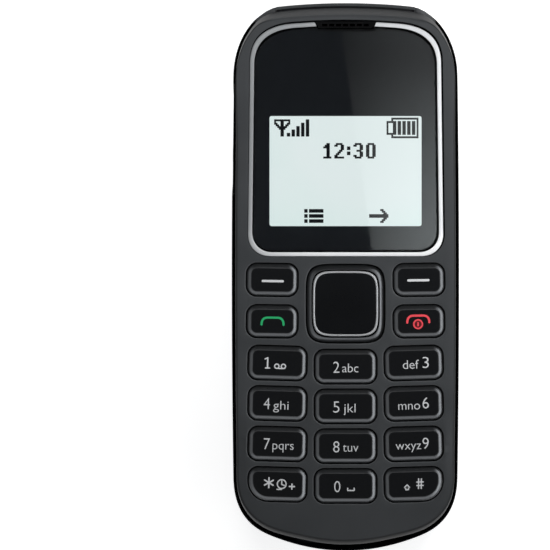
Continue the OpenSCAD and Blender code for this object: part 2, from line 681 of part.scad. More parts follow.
// Display: a tray on the board with the light guide and the glass in it
lcd_w = view_w + 4.4;
lcd_h = view_h + 3.4;
lcd_wall = 0.8;
lcd_top = plate_in - 0.1;
module lcd_frame() color([0.85, 0.86, 0.86]) {
    difference() {
        block([lcd_w, lcd_h, lcd_top - board_z], [0, view_y, board_z]);
        block([lcd_w - 2 * lcd_wall, lcd_h - 2 * lcd_wall, 5], [0, view_y, board_z + 0.4]);
    }
}
module light_guide() color([0.93, 0.96, 0.95]) {
    block([lcd_w - 2 * lcd_wall - 0.1, lcd_h - 2 * lcd_wall - 0.1, 0.7], [0, view_y, board_z + 0.4]);
}
module lcd_glass() color([0.85, 0.91, 0.9]) {
    low = board_z + 1.1;
    block([lcd_w - 2 * lcd_wall - 0.1, lcd_h - 2 * lcd_wall - 0.1, lcd_top - low - 0.1], [0, view_y, low]);
}

// Sound pieces
speaker_y = hl - 15.5;
ear_l = 5.4;
module earpiece_speaker() color([0.12, 0.12, 0.125]) {
    top = plate_in - 0.1;
    slab(moved(round_rect(slot_w, ear_l, [2.2, 2.2, 2.2, 2.2]), [0, hl - window_top - ear_l / 2 - 0.4]),
        board_z, top);
}
speaker_l = 10;
module loudspeaker() color([0.1, 0.1, 0.105]) {
    slab(moved(round_rect(speaker_w, speaker_l, [2, 2, 2, 2]), [0, speaker_y]), carrier_low - 2.6, carrier_low);
}
mic_y = 5.2;
mic_z = floor_top + 0.7;
mic_hole_r = 0.4;
module microphone() color([0.7, 0.7, 0.72]) {
    block([3.6, 2.2, 1.4], [0, mic_y + 1.1 - hl, board_low - 1.4]);
}
module microphone_boot() color([0.05, 0.05, 0.055]) {
    near = front_inset + wall + lip_gap + lip_t + 0.4;
    difference() {
        block([2.6, mic_y - near, 1.3], [0, (mic_y + near) / 2 - hl, floor_top + 0.05]);
        translate([0, -hl, mic_z]) rotate([-90, 0, 0]) cylinder(r = mic_hole_r, h = 9);
    }
}

// Charging socket: a moulded body with a bore for the plug and a pin in its middle
jack_w = 4.6;
jack_h = 4.4;
jack_l = 7;
jack_x = -hw + band_inset + 2.2 + jack_l / 2;
jack_bore = port_r + 0.45;
module charge_jack() color([0.07, 0.07, 0.075]) {
    difference() {
        block([jack_l, jack_w, jack_h], [jack_x, port_y, band_z - jack_h / 2]);
        translate([jack_x - jack_l / 2 - 1, port_y, band_z]) rotate([0, 90, 0]) cylinder(r = jack_bore, h = jack_l);
    }
}
module charge_pin() color([0.85, 0.8, 0.6]) {
    translate([jack_x - jack_l / 2 + 0.8, port_y, band_z]) rotate([0, 90, 0]) cylinder(r = 0.3, h = jack_l - 1.8);
}

sim_w = 17;
sim_l = 27;
sim_y = battery_head + 0.5 - sim_l / 2;
sim_low = floor_low + 0.2;
module sim_holder() color([0.75, 0.75, 0.76]) {
    difference() {
        block([sim_w, sim_l, board_low - sim_low], [0, sim_y, sim_low]);
        block([15.3, sim_l, 0.95], [0, sim_y + 0.6, sim_low + 0.3]);
        block([10, sim_l - 8, 1], [0, sim_y, sim_low - 0.5]);
    }
}
module sim_card() color([0.9, 0.9, 0.88]) {
    slab(moved(round_rect(15, 25, [1, 1, 1, 1]), [0, sim_y + 0.9]), sim_low + 0.33, sim_low + 1.09);
}

// Vibration motor with its half-round weight
motor_x = hw - 9.25;
motor_low_y = battery_head + 9;
motor_l = 8;
motor_z = floor_low - 0.1 - motor_r;
weight_r = motor_r;
module vibra_motor() color([0.72, 0.73, 0.74]) {
    difference() {
        translate([motor_x, motor_low_y, motor_z]) rotate([-90, 0, 0]) cylinder(r = motor_r, h = motor_l);
        translate([motor_x, motor_low_y - 1, motor_z]) rotate([-90, 0, 0])
            cylinder(r = shaft_r + run_gap, h = motor_l - 1);
    }
}
module vibra_weight() color([0.5, 0.5, 0.52]) {
    translate([motor_x, motor_low_y, motor_z]) rotate([90, 0, 0]) {
        translate([0, 0, 0.5 - motor_l + 2]) cylinder(r = shaft_r, h = motor_l + 1.4);
        translate([0, 0, 0.5]) linear_extrude(3) difference() {
            circle(r = weight_r);
            translate([-5, shaft_r + 0.1]) square([10, 5]);
        }
    }
}

// Antenna: a foil on a plastic carrier under the tray's top end
carrier_t = 1;
carrier_low = floor_low - carrier_t;
carrier_w = 2 * (motor_x - motor_r - 0.5);
carrier_l = 17;
// The loudspeaker sits under the carrier and leaves the foil its two arms
speaker_w = 0.68 * carrier_w;
carrier_y = hl - 13.6;
foil_t = 0.15;
module antenna_carrier() color([0.2, 0.2, 0.21]) {
    block([carrier_w, carrier_l, carrier_t], [0, carrier_y, carrier_low]);
}
module antenna_foil() color([0.8, 0.62, 0.35]) {
    difference() {
        block([carrier_w, carrier_l, foil_t], [0, carrier_y, carrier_low - foil_t]);
        block([speaker_w + 2, speaker_l + 2, 2], [0, speaker_y, carrier_low - 1]);
        block([1.2, 4, 2], [carrier_w / 4, carrier_y + carrier_l / 2 - 2, carrier_low - 1]);
    }
}

module screws() color([0.6, 0.6, 0.62]) {
    low = band_low - lip_h;
    for (s = SCREWS) translate([s.x, s.y, 0]) {
        difference() {
            translate([0, 0, low - 0.9]) cylinder(r = screw_head_r, h = 0.9);
            translate([0, 0, low - 1.5]) cylinder(r = 0.6, h = 1.1, $fn = 6);
        }
        translate([0, 0, low - eps]) cylinder(r = screw_r - 0.03, h = board_z + 1.4 - low);
    }
}

DIAL = [["key_1", 0, 0], ["key_2", 1, 0], ["key_3", 2, 0], ["key_4", 0, 1], ["key_5", 1, 1],
    ["key_6", 2, 1], ["key_7", 0, 2], ["key_8", 1, 2], ["key_9", 2, 2],
    ["key_star", 0, 3], ["key_0", 1, 3], ["key_hash", 2, 3]];
SOFT = [["soft_key_left", -1, 0], ["soft_key_right", 1, 0], ["call_key", -1, 1], ["end_key", 1, 1]];

front_cover();
window_lens();
window_mask();
bezel_trim();
earpiece_grille();
middle_frame();
torch_cap();
torch_lens();
torch_led();
back_cover();
battery();
contact_block();
battery_contacts();
main_board();
shield_cans();
chips();
key_leds();
dome_sheet();
keymat();
for (k = DIAL) dial_key(k[1], k[2]);
for (k = SOFT) soft_key(k[1], k[2]);
nav_fulcrum();
nav_rim();
nav_ring();
nav_plate();
lcd_frame();
light_guide();
lcd_glass();
earpiece_speaker();
loudspeaker();
microphone();
microphone_boot();
charge_jack();
charge_pin();
sim_holder();
sim_card();
vibra_motor();
vibra_weight();
antenna_carrier();
antenna_foil();
screws();
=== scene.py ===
# %% [markdown]
# # A keypad phone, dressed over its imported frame
#
# The phone was drawn as solids first. They come in as a fixed frame: the phone lies on its back, the top
# end points along +Y, the display faces +Z and lengths are metres. Here the covers, keys, prints and
# finishes are made in the same coordinates, so that each piece lands on the solid it stands for without any
# fitting.

# %% Load the frame
import math

import bmesh
import bpy
import numpy as np
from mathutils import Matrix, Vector
from mathutils.geometry import delaunay_2d_cdt


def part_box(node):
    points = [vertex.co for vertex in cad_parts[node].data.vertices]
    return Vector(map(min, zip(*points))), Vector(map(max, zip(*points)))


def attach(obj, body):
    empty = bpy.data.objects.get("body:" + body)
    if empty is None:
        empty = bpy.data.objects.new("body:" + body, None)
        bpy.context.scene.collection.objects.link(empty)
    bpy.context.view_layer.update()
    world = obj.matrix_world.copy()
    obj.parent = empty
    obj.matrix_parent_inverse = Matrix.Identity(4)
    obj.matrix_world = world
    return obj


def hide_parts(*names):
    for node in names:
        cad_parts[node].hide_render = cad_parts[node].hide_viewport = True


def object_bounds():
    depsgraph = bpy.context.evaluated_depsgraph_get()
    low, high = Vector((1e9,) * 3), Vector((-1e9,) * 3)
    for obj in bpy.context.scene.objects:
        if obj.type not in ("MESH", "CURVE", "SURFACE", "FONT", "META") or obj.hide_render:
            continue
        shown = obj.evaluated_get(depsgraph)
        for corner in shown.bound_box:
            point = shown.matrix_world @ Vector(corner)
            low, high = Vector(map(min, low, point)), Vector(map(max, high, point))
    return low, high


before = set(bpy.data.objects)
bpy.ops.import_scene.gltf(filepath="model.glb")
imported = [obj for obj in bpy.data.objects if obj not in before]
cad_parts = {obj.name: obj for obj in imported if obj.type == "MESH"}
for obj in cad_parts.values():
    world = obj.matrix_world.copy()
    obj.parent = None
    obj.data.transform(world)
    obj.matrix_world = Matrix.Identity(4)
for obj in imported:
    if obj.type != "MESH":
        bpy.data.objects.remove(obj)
cad_box = [[float(v) for v in corner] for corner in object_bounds()]
MM = 0.001


def box_mm(node):
    """Lowest and highest corner of a solid, in millimetres."""
    low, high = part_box(node)
    return np.array(low) / MM, np.array(high) / MM


def in_scene(name, data):
    """A new object in the scene's collection."""
    made = bpy.data.objects.new(name, data)
    bpy.context.collection.objects.link(made)
    return made


def frozen(made):
    """What an object looks like with its modifiers, as a mesh. The object itself goes."""
    mesh = bpy.data.meshes.new_from_object(made.evaluated_get(bpy.context.evaluated_depsgraph_get()))
    bpy.data.objects.remove(made)
    return mesh


print("solid model in mm:", [[round(v / MM, 2) for v in corner] for corner in cad_box])

# %% [markdown]
# ## Camera
#
# The picture to match looks straight down on the front of the phone from far away: its sides show no
# perspective. A camera with no rotation already looks down -Z with +Y up, so only its place and its lens
# are needed. The frame's width on the phone's front gives the focal length.

# %% Camera
VIEW_WIDTH = 107.42 * MM
VIEW_CENTRE = (-13.78 * MM, 0.40 * MM)
CAMERA_HEIGHT = 5.0

SENSOR = 36
camera_data = bpy.data.cameras.new("camera")
camera_data.sensor_width = SENSOR
camera_data.lens = SENSOR * (CAMERA_HEIGHT - cad_box[1][2]) / VIEW_WIDTH
camera_data.clip_end = 20
camera = in_scene("camera", camera_data)
camera.location = (*VIEW_CENTRE, CAMERA_HEIGHT)
bpy.context.scene.camera = camera
print("lens:", round(camera_data.lens, 1), "mm")

# %% [markdown]
# ## Writing materials as arithmetic
#
# Node trees are easier to read as expressions. `Value` wraps what flows from one node to the next, and its
# operators add Math nodes. `Nodes` owns a tree, and its `node` method makes every other kind of node: the
# type, then the settings, then what goes into the sockets. `Finish` is such a tree for a material, with one
# Principled shader.


# %% Value, Nodes and Finish
class Value:
    """A number, colour or shape on its way through a node tree."""

    def __init__(self, nodes, socket):
        self.nodes = nodes
        self.socket = socket

    def maths(self, operation, first, second):
        return self.nodes.node("ShaderNodeMath", {"operation": operation}, {0: first, 1: second})

    def __add__(self, other):
        return self.maths("ADD", self, other)

    def __radd__(self, other):
        return self.maths("ADD", other, self)

    def __sub__(self, other):
        return self.maths("SUBTRACT", self, other)

    def __rsub__(self, other):
        return self.maths("SUBTRACT", other, self)

    def __mul__(self, other):
        return self.maths("MULTIPLY", self, other)

    def __rmul__(self, other):
        return self.maths("MULTIPLY", other, self)

    def at_least(self, other):
        return self.maths("MAXIMUM", self, other)


class Nodes:
    """A node tree, and the means to add to it."""

    def __init__(self, tree):
        self.tree = tree

    def feed(self, socket, value):
        if isinstance(value, Value):
            self.tree.links.new(value.socket, socket)
        else:
            socket.default_value = value

    def node(self, kind, settings, sockets, output=0):
        made = self.tree.nodes.new(kind)
        for name, value in settings.items():
            setattr(made, name, value)
        for name, value in sockets.items():
            self.feed(made.inputs[name], value)
        return Value(self, made.outputs[output])

    def steps(self, value, low, high):
        """0 below low and 1 above high, smooth between."""
        return self.node("ShaderNodeMapRange", {"interpolation_type": "SMOOTHSTEP"},
                         {"Value": value, "From Min": low, "From Max": high})

    def mix(self, factor, first, second):
        return self.node("ShaderNodeMix", {"data_type": "RGBA"}, {0: factor, 6: first, 7: second}, 2)

    def along(self, axis, vector):
        return self.node("ShaderNodeSeparateXYZ", {}, {0: vector}, axis)

    def ray(self, kind):
        """1 for light that is traced for a purpose, such as Camera or Glossy."""
        return self.node("ShaderNodeLightPath", {}, {}, "Is " + kind + " Ray")


class Finish(Nodes):
    """A material with one Principled shader."""

    def __init__(self, name, sockets):
        self.material = bpy.data.materials.new(name)
        self.material.use_nodes = True
        super().__init__(self.material.node_tree)
        self.tree.nodes.clear()
        self.surface = self.tree.nodes.new("ShaderNodeOutputMaterial")
        self.shader = self.tree.nodes.new("ShaderNodeBsdfPrincipled")
        self.tree.links.new(self.shader.outputs[0], self.surface.inputs[0])
        self.place = None
        self.wear(sockets)

    def wear(self, sockets):
        for name, value in sockets.items():
            self.feed(self.shader.inputs[name], value)

    def object_place(self):
        if self.place is None:
            self.place = self.node("ShaderNodeTexCoord", {}, {}, "Object")
        return self.place

    def noise(self, scale, detail=2.0, stretch=None):
        place = self.object_place()
        if stretch:
            place = self.node("ShaderNodeMapping", {}, {"Vector": place, "Scale": stretch})
        return self.node("ShaderNodeTexNoise", {}, {"Vector": place, "Scale": scale, "Detail": detail})

    def mask(self, name):
        """A value that the mesh carries on its points."""
        return self.node("ShaderNodeAttribute", {"attribute_name": name}, {}, "Fac")

    def bump(self, height, strength, depth):
        return self.node("ShaderNodeBump", {}, {"Height": height, "Strength": strength, "Distance": depth})


def tone(red, green, blue):
    """A colour given on the usual 0 to 255 screen scale."""
    linear = [v / 255 / 12.92 if v / 255 <= 0.04045 else ((v / 255 + 0.055) / 1.055) ** 2.4
              for v in (red, green, blue)]
    return (*linear, 1.0)


print("a mid grey of 128 is", round(tone(128, 128, 128)[0], 3), "in linear light")

# %% [markdown]
# ## Floor and light
#
# The phone lies on a white sweep. The floor is pale for the light that bounces, and plain white where the
# camera, a mirror or a clear piece looks at it, while it keeps the phone's shadow. The sky is dark
# overhead, so that level glossy faces mirror little and stay black. A soft ring at half height gives a weak
# fill, and a brighter band below it, strongest at the right and missing beyond the far end, lights the
# sloping edges of the keys. Two soft lamps, one beyond the top end and one at the right, light the covers,
# and two panels far above, which meet in a slanted edge, give the window its reflection.

# %% Floor
scene = bpy.context.scene
scene.view_settings.view_transform = "Standard"

FLOOR_HALF = 12.0
WHITENESS = 0.70
FLOOR_SIDES = ((-1, -1), (1, -1), (1, 1), (-1, 1))
floor_mesh = bpy.data.meshes.new("floor")
floor_mesh.from_pydata([(x * FLOOR_HALF, y * FLOOR_HALF, 0) for x, y in FLOOR_SIDES], [], [(0, 1, 2, 3)])
floor = in_scene("floor", floor_mesh)

PAPER = (0.82, 0.82, 0.82, 1)
paper = Finish("paper_sweep", {"Base Color": PAPER, "Roughness": 0.9, "Specular IOR Level": 0.0})
looked_at = paper.ray("Camera").at_least(paper.ray("Glossy")).at_least(paper.ray("Transmission"))
shade = Value(paper, paper.shader.outputs[0])
white = paper.node("ShaderNodeEmission", {}, {"Color": (1, 1, 1, 1), "Strength": WHITENESS})
lit_shade = paper.node("ShaderNodeAddShader", {}, {0: shade, 1: white})
shown = paper.node("ShaderNodeMixShader", {}, {0: looked_at, 1: shade, 2: lit_shade})
paper.feed(paper.surface.inputs[0], shown)
floor_mesh.materials.append(paper.material)
print("floor", 2 * FLOOR_HALF, "m across")

# %% World and lamps
world = bpy.data.worlds.new("studio")
scene.world = world
world.use_nodes = True
OVERHEAD_LEVEL, RING_LEVEL, RING_FAR = 0.03, 0.44, 0.35
RING_RISE, RING_FALL, RING_FAR_SIDE = (0.43, 0.63), (0.74, 0.93), (0.1, 0.6)
BAND_LEFT, BAND_NEAR, BAND_RIGHT = 0.54, 1.06, 2.9
BAND_RISE, BAND_FALL = (0.20, 0.30), (0.40, 0.52)
LEFT_SIDE, NEAR_SIDE, RIGHT_SIDE = (0.3, 1.0), (-0.3, 0.8), (0.1, 0.9)
SKY_TINT, PLAIN_WHITE = (0.96, 0.98, 1.0, 1), (1, 1, 1, 1)
sky = Nodes(world.node_tree)
looking = sky.node("ShaderNodeTexCoord", {}, {}, "Generated")
right, far, up = (sky.along(axis, looking) for axis in "XYZ")
ring_part = sky.steps(up, *RING_RISE) * (1 - sky.steps(up, *RING_FALL))
ring_light = RING_LEVEL * ring_part * (1 - (1 - RING_FAR) * sky.steps(far, *RING_FAR_SIDE))
band_part = sky.steps(up, *BAND_RISE) * (1 - sky.steps(up, *BAND_FALL))
to_right = BAND_RIGHT * sky.steps(right, *RIGHT_SIDE)
to_near = BAND_NEAR * sky.steps(0 - far, *NEAR_SIDE)
to_left = BAND_LEFT * sky.steps(0 - right, *LEFT_SIDE)
band_light = band_part * to_right.at_least(to_near).at_least(to_left)
seen = sky.ray("Camera")
level = seen + (1 - seen) * (OVERHEAD_LEVEL + ring_light + band_light)
backdrop = world.node_tree.nodes["Background"]
sky.feed(backdrop.inputs["Color"], sky.mix(seen, SKY_TINT, PLAIN_WHITE))
sky.feed(backdrop.inputs["Strength"], level)


def soft_box(name, place, aim, size, brightness):
    """A lamp whose face has a brightness, 1 being paper white. Mirrors and clear pieces don't show it."""
    lamp = bpy.data.lights.new(name, "AREA")
    lamp.shape = "RECTANGLE"
    lamp.size, lamp.size_y = size
    lamp.energy = brightness * math.pi * size[0] * size[1]
    made = in_scene(name, lamp)
    made.location = place
    made.rotation_euler = (Vector(aim) - Vector(place)).to_track_quat("-Z", "Y").to_euler()
    made.visible_glossy = made.visible_transmission = False
    print(name, round(lamp.energy, 2), "W")


soft_box("far_box", place=(-0.042, 0.082, 0.100), aim=(0, 0.03, 0.015), size=(0.10, 0.06), brightness=3.4)
soft_box("right_box", place=(0.056, 0.028, 0.072), aim=(0, -0.01, 0.015), size=(0.05, 0.06), brightness=4.8)

# %% Panels overhead
PANEL_HEIGHT = 6.0
EDGE_ON_WINDOW = [(-1.5, 60.0), (-1.0, 49.0), (1.6, 31.5), (5.2, 5.0), (5.8, 2.0)]
PANEL_OUT, PANEL_FAR, PANEL_NEAR, PANEL_PALE_X = 26.0, 42, 6, 19
FAINT_GLOW = (0.065, 0.075, 0.095, 1)


def seen_from_window(x, y):
    """Where the camera, mirrored in a point of the window in mm, looks at the panel's height."""
    reach = (PANEL_HEIGHT - cad_box[1][2]) / (CAMERA_HEIGHT - cad_box[1][2])
    return [v * MM + (v * MM - centre) * reach for v, centre in zip((x, y), VIEW_CENTRE)]


edge = [seen_from_window(x, y) for x, y in EDGE_ON_WINDOW]


def panel_beside_edge(name, side, glow):
    """A level panel from the slanted edge out to a place on the window."""
    end, count = seen_from_window(side, 0)[0], len(edge)
    points = [(x, y, PANEL_HEIGHT) for x, y in edge] + [(end, y, PANEL_HEIGHT) for x, y in edge]
    mesh = bpy.data.meshes.new(name)
    mesh.from_pydata(points, [], [(k, k + 1, count + k + 1, count + k) for k in range(count - 1)])
    mesh.materials.append(glow)
    made = in_scene(name, mesh)


PANEL_DIM, PANEL_BRIGHT = (0.14, 0.15, 0.16, 1), (0.50, 0.52, 0.54, 1)
PANEL_NEAR_DIM, PANEL_NEAR_BRIGHT = (0.34, 0.36, 0.37, 1), (1.9, 2.05, 2.1, 1)
panel_left, panel_far = seen_from_window(0, PANEL_FAR)
panel_right, panel_near = seen_from_window(PANEL_PALE_X, PANEL_NEAR)
LIGHT_ONLY = {"Base Color": (0, 0, 0, 1), "Specular IOR Level": 0.0, "Emission Strength": 1.0}
glow = Finish("panel_glow", LIGHT_ONLY)
across, away = (glow.along(axis, glow.object_place()) for axis in "XY")
to_edge = (across - panel_left) * (1 / (panel_right - panel_left))
to_near_end = (panel_far - away) * (1 / (panel_far - panel_near))
glow.wear({"Emission Color": glow.mix(to_near_end, glow.mix(to_edge, PANEL_DIM, PANEL_BRIGHT),
                                      glow.mix(to_edge, PANEL_NEAR_DIM, PANEL_NEAR_BRIGHT))})
faint = Finish("faint_glow", {**LIGHT_ONLY, "Emission Color": FAINT_GLOW})
panel_beside_edge("panel", PANEL_OUT, glow.material)
panel_beside_edge("faint_panel", -PANEL_OUT, faint.material)
print("panel edge in m:", [(round(x, 3), round(y, 3)) for x, y in edge])

# %% [markdown]
# ## Finishes of the covers
#
# The covers are dark grey moulded plastic with a fine matt skin from the mould. A single grey would look
# like a stand-in, so each finish has three layers: slow clouds in the colour, a fine grain that drives a
# small bump, and a slightly polished, paler line on the edges, which is partly wear from handling and
# partly a painted highlight. The meshes carry that line as a point value, which is below 0 where shade is
# painted: on the ledges in the seams, where little light gets in, on the shelf under the window, and on the
# sides and rounded edges of the front cover. There the colour turns towards a painted shade black that
# mirrors nothing: a metal with no colour.


# %% Moulded plastics
# Painted shade: the near black that seams, ledges and shaded sides turn to.
PAINTED_SHADE_BLACK = tone(7, 7, 8)


def moulded(name, dark, pale, rough, grain_depth=0.000012, rub_and_highlight=None):
    """Matt plastic between two close tones. The last argument is the tone of a paler edge, partly wear and
    partly a painted highlight.
    """
    made = Finish(name, {"IOR": 1.49})
    clouds = made.noise(70, 3)
    grain = made.noise(5200, 1.5)
    colour = made.mix(made.steps(clouds, 0.3, 0.7), dark, pale)
    roughness = rough + (grain - 0.5) * 0.12
    painted_shade = 0.0
    # The edge value above 0 gives a paler, smoother edge, partly wear and partly a painted highlight; below 0
    # it gives painted shade black.
    if rub_and_highlight:
        edge = made.mask("edge")
        worn_and_lit = made.steps(edge, 0.0, 1.0) * (0.65 + 0.35 * clouds)
        painted_shade = made.steps(0 - edge, 0.0, 1.0)
        colour = made.mix(painted_shade, made.mix(worn_and_lit, colour, rub_and_highlight), PAINTED_SHADE_BLACK)
        roughness = roughness - 0.16 * worn_and_lit
    made.wear({"Base Color": colour, "Roughness": roughness, "Metallic": painted_shade,
               "Normal": made.bump(grain, 0.35, grain_depth)})
    return made.material


def grained(name, sockets, tones, noise, rough, bump):
    """One noise drives the tone, the roughness (least value, span) and the bump (strength, depth)."""
    made = Finish(name, sockets)
    grain = made.noise(*noise)
    made.wear({"Base Color": made.mix(grain, *tones), "Roughness": rough[0] + rough[1] * grain,
               "Normal": made.bump(grain, *bump)})
    return made.material


front_plastic = moulded("front_plastic", tone(54, 56, 58), tone(60, 62, 64), 0.56, rub_and_highlight=tone(92, 94, 96))
back_plastic = moulded("back_plastic", tone(60, 61, 63), tone(66, 67, 69), 0.5, rub_and_highlight=tone(90, 91, 93))
band_plastic = moulded("band_plastic", tone(44, 45, 47), tone(50, 51, 53), 0.36, rub_and_highlight=tone(104, 105, 107))
print("cover finishes:", front_plastic.name, back_plastic.name, band_plastic.name)

# %% [markdown]
# ## The phone's outline
#
# Seen from the front the phone is a long rounded bar: nearly straight sides with a slight bow, a flat arch
# at the top with wide shoulders, and a deeper arch at the bottom. Five curve pieces make the right half,
# spaced evenly along their length, and the left half is its mirror image. Both covers and the band draw
# this outline in by different amounts, so one list of points serves them all.

# %% Outline
back_low, back_high = box_mm("back_cover")
front_low, front_high = box_mm("front_cover")
HALF_W = back_high[0]
HALF_L = -back_low[1]
LENGTH = 2 * HALF_L
FACE = front_high[2]
FRONT_RIM = front_low[2]
BACK_RIM = back_high[2]
AROUND = 170
FOOT_IN, FOOT_RISE, FOOT_PULL = 7.6, 2.96, 0.54
LOW_CORNER, LOW_PULL, LOW_LEAN = 14.5, 0.47, 0.05
HIGH_CORNER, HIGH_PULL, HIGH_LEAN = 14.0, 0.58, 0.18
HEAD_IN, HEAD_DROP, HEAD_PULL = 9.1, 0.68, 0.38
SIDE_BOW = 0.3


def cubic(p, q, r, s, n=40):
    t = np.linspace(0, 1, n, endpoint=False)[:, None]
    u = 1 - t
    return u**3 * np.array(p) + 3 * u * u * t * np.array(q) + 3 * u * t * t * np.array(r) + t**3 * np.array(s)


def quadratic(p, q, r, n=40):
    t = np.linspace(0, 1, n, endpoint=False)[:, None]
    u = 1 - t
    return u * u * np.array(p) + 2 * u * t * np.array(q) + t * t * np.array(r)


def sine(degrees):
    return math.sin(math.radians(degrees))


def cosine(degrees):
    return math.cos(math.radians(degrees))


def evenly(points, n):
    """n + 1 points at equal steps along a line of points."""
    steps = np.r_[0, np.cumsum(np.hypot(*np.diff(points, axis=0).T))]
    at = np.linspace(0, steps[-1], n + 1)
    return np.c_[np.interp(at, steps, points[:, 0]), np.interp(at, steps, points[:, 1])]


def both_sides(half):
    return np.vstack([half, half[-2:0:-1] * [-1, 1]])


def body_half():
    foot = np.array([HALF_W - FOOT_IN, FOOT_RISE - HALF_L])
    low = np.array([HALF_W - SIDE_BOW, LOW_CORNER - HALF_L])
    high = np.array([HALF_W - SIDE_BOW, HALF_L - HIGH_CORNER])
    head = np.array([HALF_W - HEAD_IN, HALF_L - HEAD_DROP])
    from_foot = FOOT_PULL * FOOT_IN * np.array([1, 2 * FOOT_RISE / foot[0]])
    from_head = HEAD_PULL * HEAD_IN * np.array([1, -2 * HEAD_DROP / head[0]])
    return np.vstack([
        quadratic((0, -HALF_L), (foot[0] / 2, -HALF_L), foot),
        cubic(foot, foot + from_foot, low - [LOW_LEAN, LOW_PULL * LOW_CORNER], low),
        quadratic(low, (HALF_W + SIDE_BOW, (low[1] + high[1]) / 2), high),
        cubic(high, high + [-HIGH_LEAN, HIGH_PULL * HIGH_CORNER], head + from_head, head),
        quadratic(head, (head[0] / 2, HALF_L), (0, HALF_L)),
        [[0, HALF_L]]])


BODY = both_sides(evenly(body_half(), AROUND))


def drawn_in(side, top, bottom):
    """The outline with its sides, top end and bottom end moved in. Each may differ from point to point."""
    x = BODY[:, 0] * (HALF_W - side) / HALF_W
    y = (BODY[:, 1] + HALF_L) * (LENGTH - top - bottom) / LENGTH - HALF_L + bottom
    return np.c_[x, y]


print("outline points:", len(BODY), "size in mm:", np.ptp(BODY, axis=0).round(2))

# %% [markdown]
# ## Tools for closed skins
#
# Every moulding here is a skin over rings: rings of equal count are joined by quads, and a flat face with
# holes is filled by a constrained triangulation, with a grid of extra points so that it can curve. `Skin`
# keeps the points, the faces and the edge value together, and `piece` turns it into an object on its body.


# %% Skin
def inside(points, loop):
    """True for each point that lies in a closed loop."""
    x, y = points[:, 0][:, None], points[:, 1][:, None]
    a, b = loop, np.roll(loop, -1, axis=0)
    spans = (a[:, 1] > y) != (b[:, 1] > y)
    rise = np.where(b[:, 1] == a[:, 1], 1e-12, b[:, 1] - a[:, 1])
    crosses = x < (b[:, 0] - a[:, 0]) * (y - a[:, 1]) / rise + a[:, 0]
    return (spans & crosses).sum(axis=1) % 2 == 1


def grown(loop, by):
    """A loop that runs anticlockwise, moved out along its normals."""
    along = np.roll(loop, -1, axis=0) - np.roll(loop, 1, axis=0)
    along /= np.maximum(np.hypot(*along.T), 1e-9)[:, None]
    return loop + by * np.c_[along[:, 1], -along[:, 0]]


class Skin:
    GRID_SHIFT, GRID_CLEAR = 0.37, 0.45

    def __init__(self):
        self.points, self.faces, self.edge = [], [], []

    def ring(self, loop, height, edge=0.0):
        """Adds a loop at a height, or at a height for each point, and returns its numbers."""
        first = len(self.points)
        heights = np.broadcast_to(height, len(loop))
        self.points += [(float(p[0]), float(p[1]), float(z)) for p, z in zip(loop, heights)]
        self.edge += [float(v) for v in np.broadcast_to(edge, len(loop))]
        return list(range(first, first + len(loop)))

    def join(self, *rings):
        for low, high in zip(rings, rings[1:]):
            n = len(low)
            self.faces += [(low[k], low[(k + 1) % n], high[(k + 1) % n], high[k]) for k in range(n)]

    def cap(self, ring):
        self.faces.append(tuple(ring))

    def stack(self, loop_at, profile):
        """Rings for a profile of loop sizes, heights and, if given, edge values."""
        return [self.ring(loop_at(size), *rest) for size, *rest in profile]

    def closed(self, rings, filled=False):
        """Joins rings and closes the first and the last, with one face each or with many."""
        self.join(*rings)
        for end in (rings[0], rings[-1]):
            if filled:
                self.fill(end)
            else:
                self.cap(end)

    def fill(self, outer, holes=(), height=None, spacing=0.0):
        """Fills a loop around holes. With a spacing, grid points at height(x, y) go in between."""
        loops = [outer, *holes]
        numbers = [k for loop in loops for k in loop]
        flat = np.array([self.points[k][:2] for k in numbers])
        edges, first = [], 0
        for loop in loops:
            edges += [(first + k, first + (k + 1) % len(loop)) for k in range(len(loop))]
            first += len(loop)
        shapes = [np.array([self.points[k][:2] for k in loop]) for loop in loops]

        def within(points):
            kept = inside(points, shapes[0])
            for shape in shapes[1:]:
                kept &= ~inside(points, shape)
            return kept

        if spacing:
            low, high = flat.min(axis=0), flat.max(axis=0)
            grid = np.array([(x, y) for x in np.arange(low[0], high[0], spacing)
                             for y in np.arange(low[1], high[1], spacing)]) + spacing * self.GRID_SHIFT
            grid = grid[within(grid)]
            apart = grid[:, None, :] - flat[None, :, :]
            nearest = np.min(np.hypot(apart[..., 0], apart[..., 1]), axis=1)
            grid = grid[nearest > self.GRID_CLEAR * spacing]
            numbers = numbers + self.ring(grid, height(grid))
            flat = np.vstack([flat, grid])
        made = delaunay_2d_cdt([Vector(p) for p in flat], edges, [], 0, 1e-7)
        corners = np.array([tuple(v) for v in made[0]])
        owner = [numbers[source[0]] if source else None for source in made[3]]
        faces = [face for face in made[2] if all(owner[k] is not None for k in face)]
        kept = within(np.array([corners[list(face)].mean(axis=0) for face in faces]))
        self.faces += [tuple(owner[k] for k in face) for face, keep in zip(faces, kept) if keep]


def dress(mesh, material, sharp=32):
    """Merges the mesh, turns its faces outwards, smooths it up to an angle and gives it a material."""
    work = bmesh.new()
    work.from_mesh(mesh)
    bmesh.ops.remove_doubles(work, verts=work.verts, dist=1e-7)
    bmesh.ops.recalc_face_normals(work, faces=work.faces)
    work.to_mesh(mesh)
    work.free()
    mesh.shade_smooth()
    mesh.set_sharp_from_angle(angle=math.radians(sharp))
    mesh.materials.clear()
    mesh.materials.append(material)


def settle(name, mesh, body, stands_for=()):
    """Puts a finished mesh on its body, in place of the solids it stands for."""
    made = in_scene(name, mesh)
    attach(made, body)
    if stands_for:
        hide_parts(*stands_for)
    print(name, len(mesh.polygons), "faces")


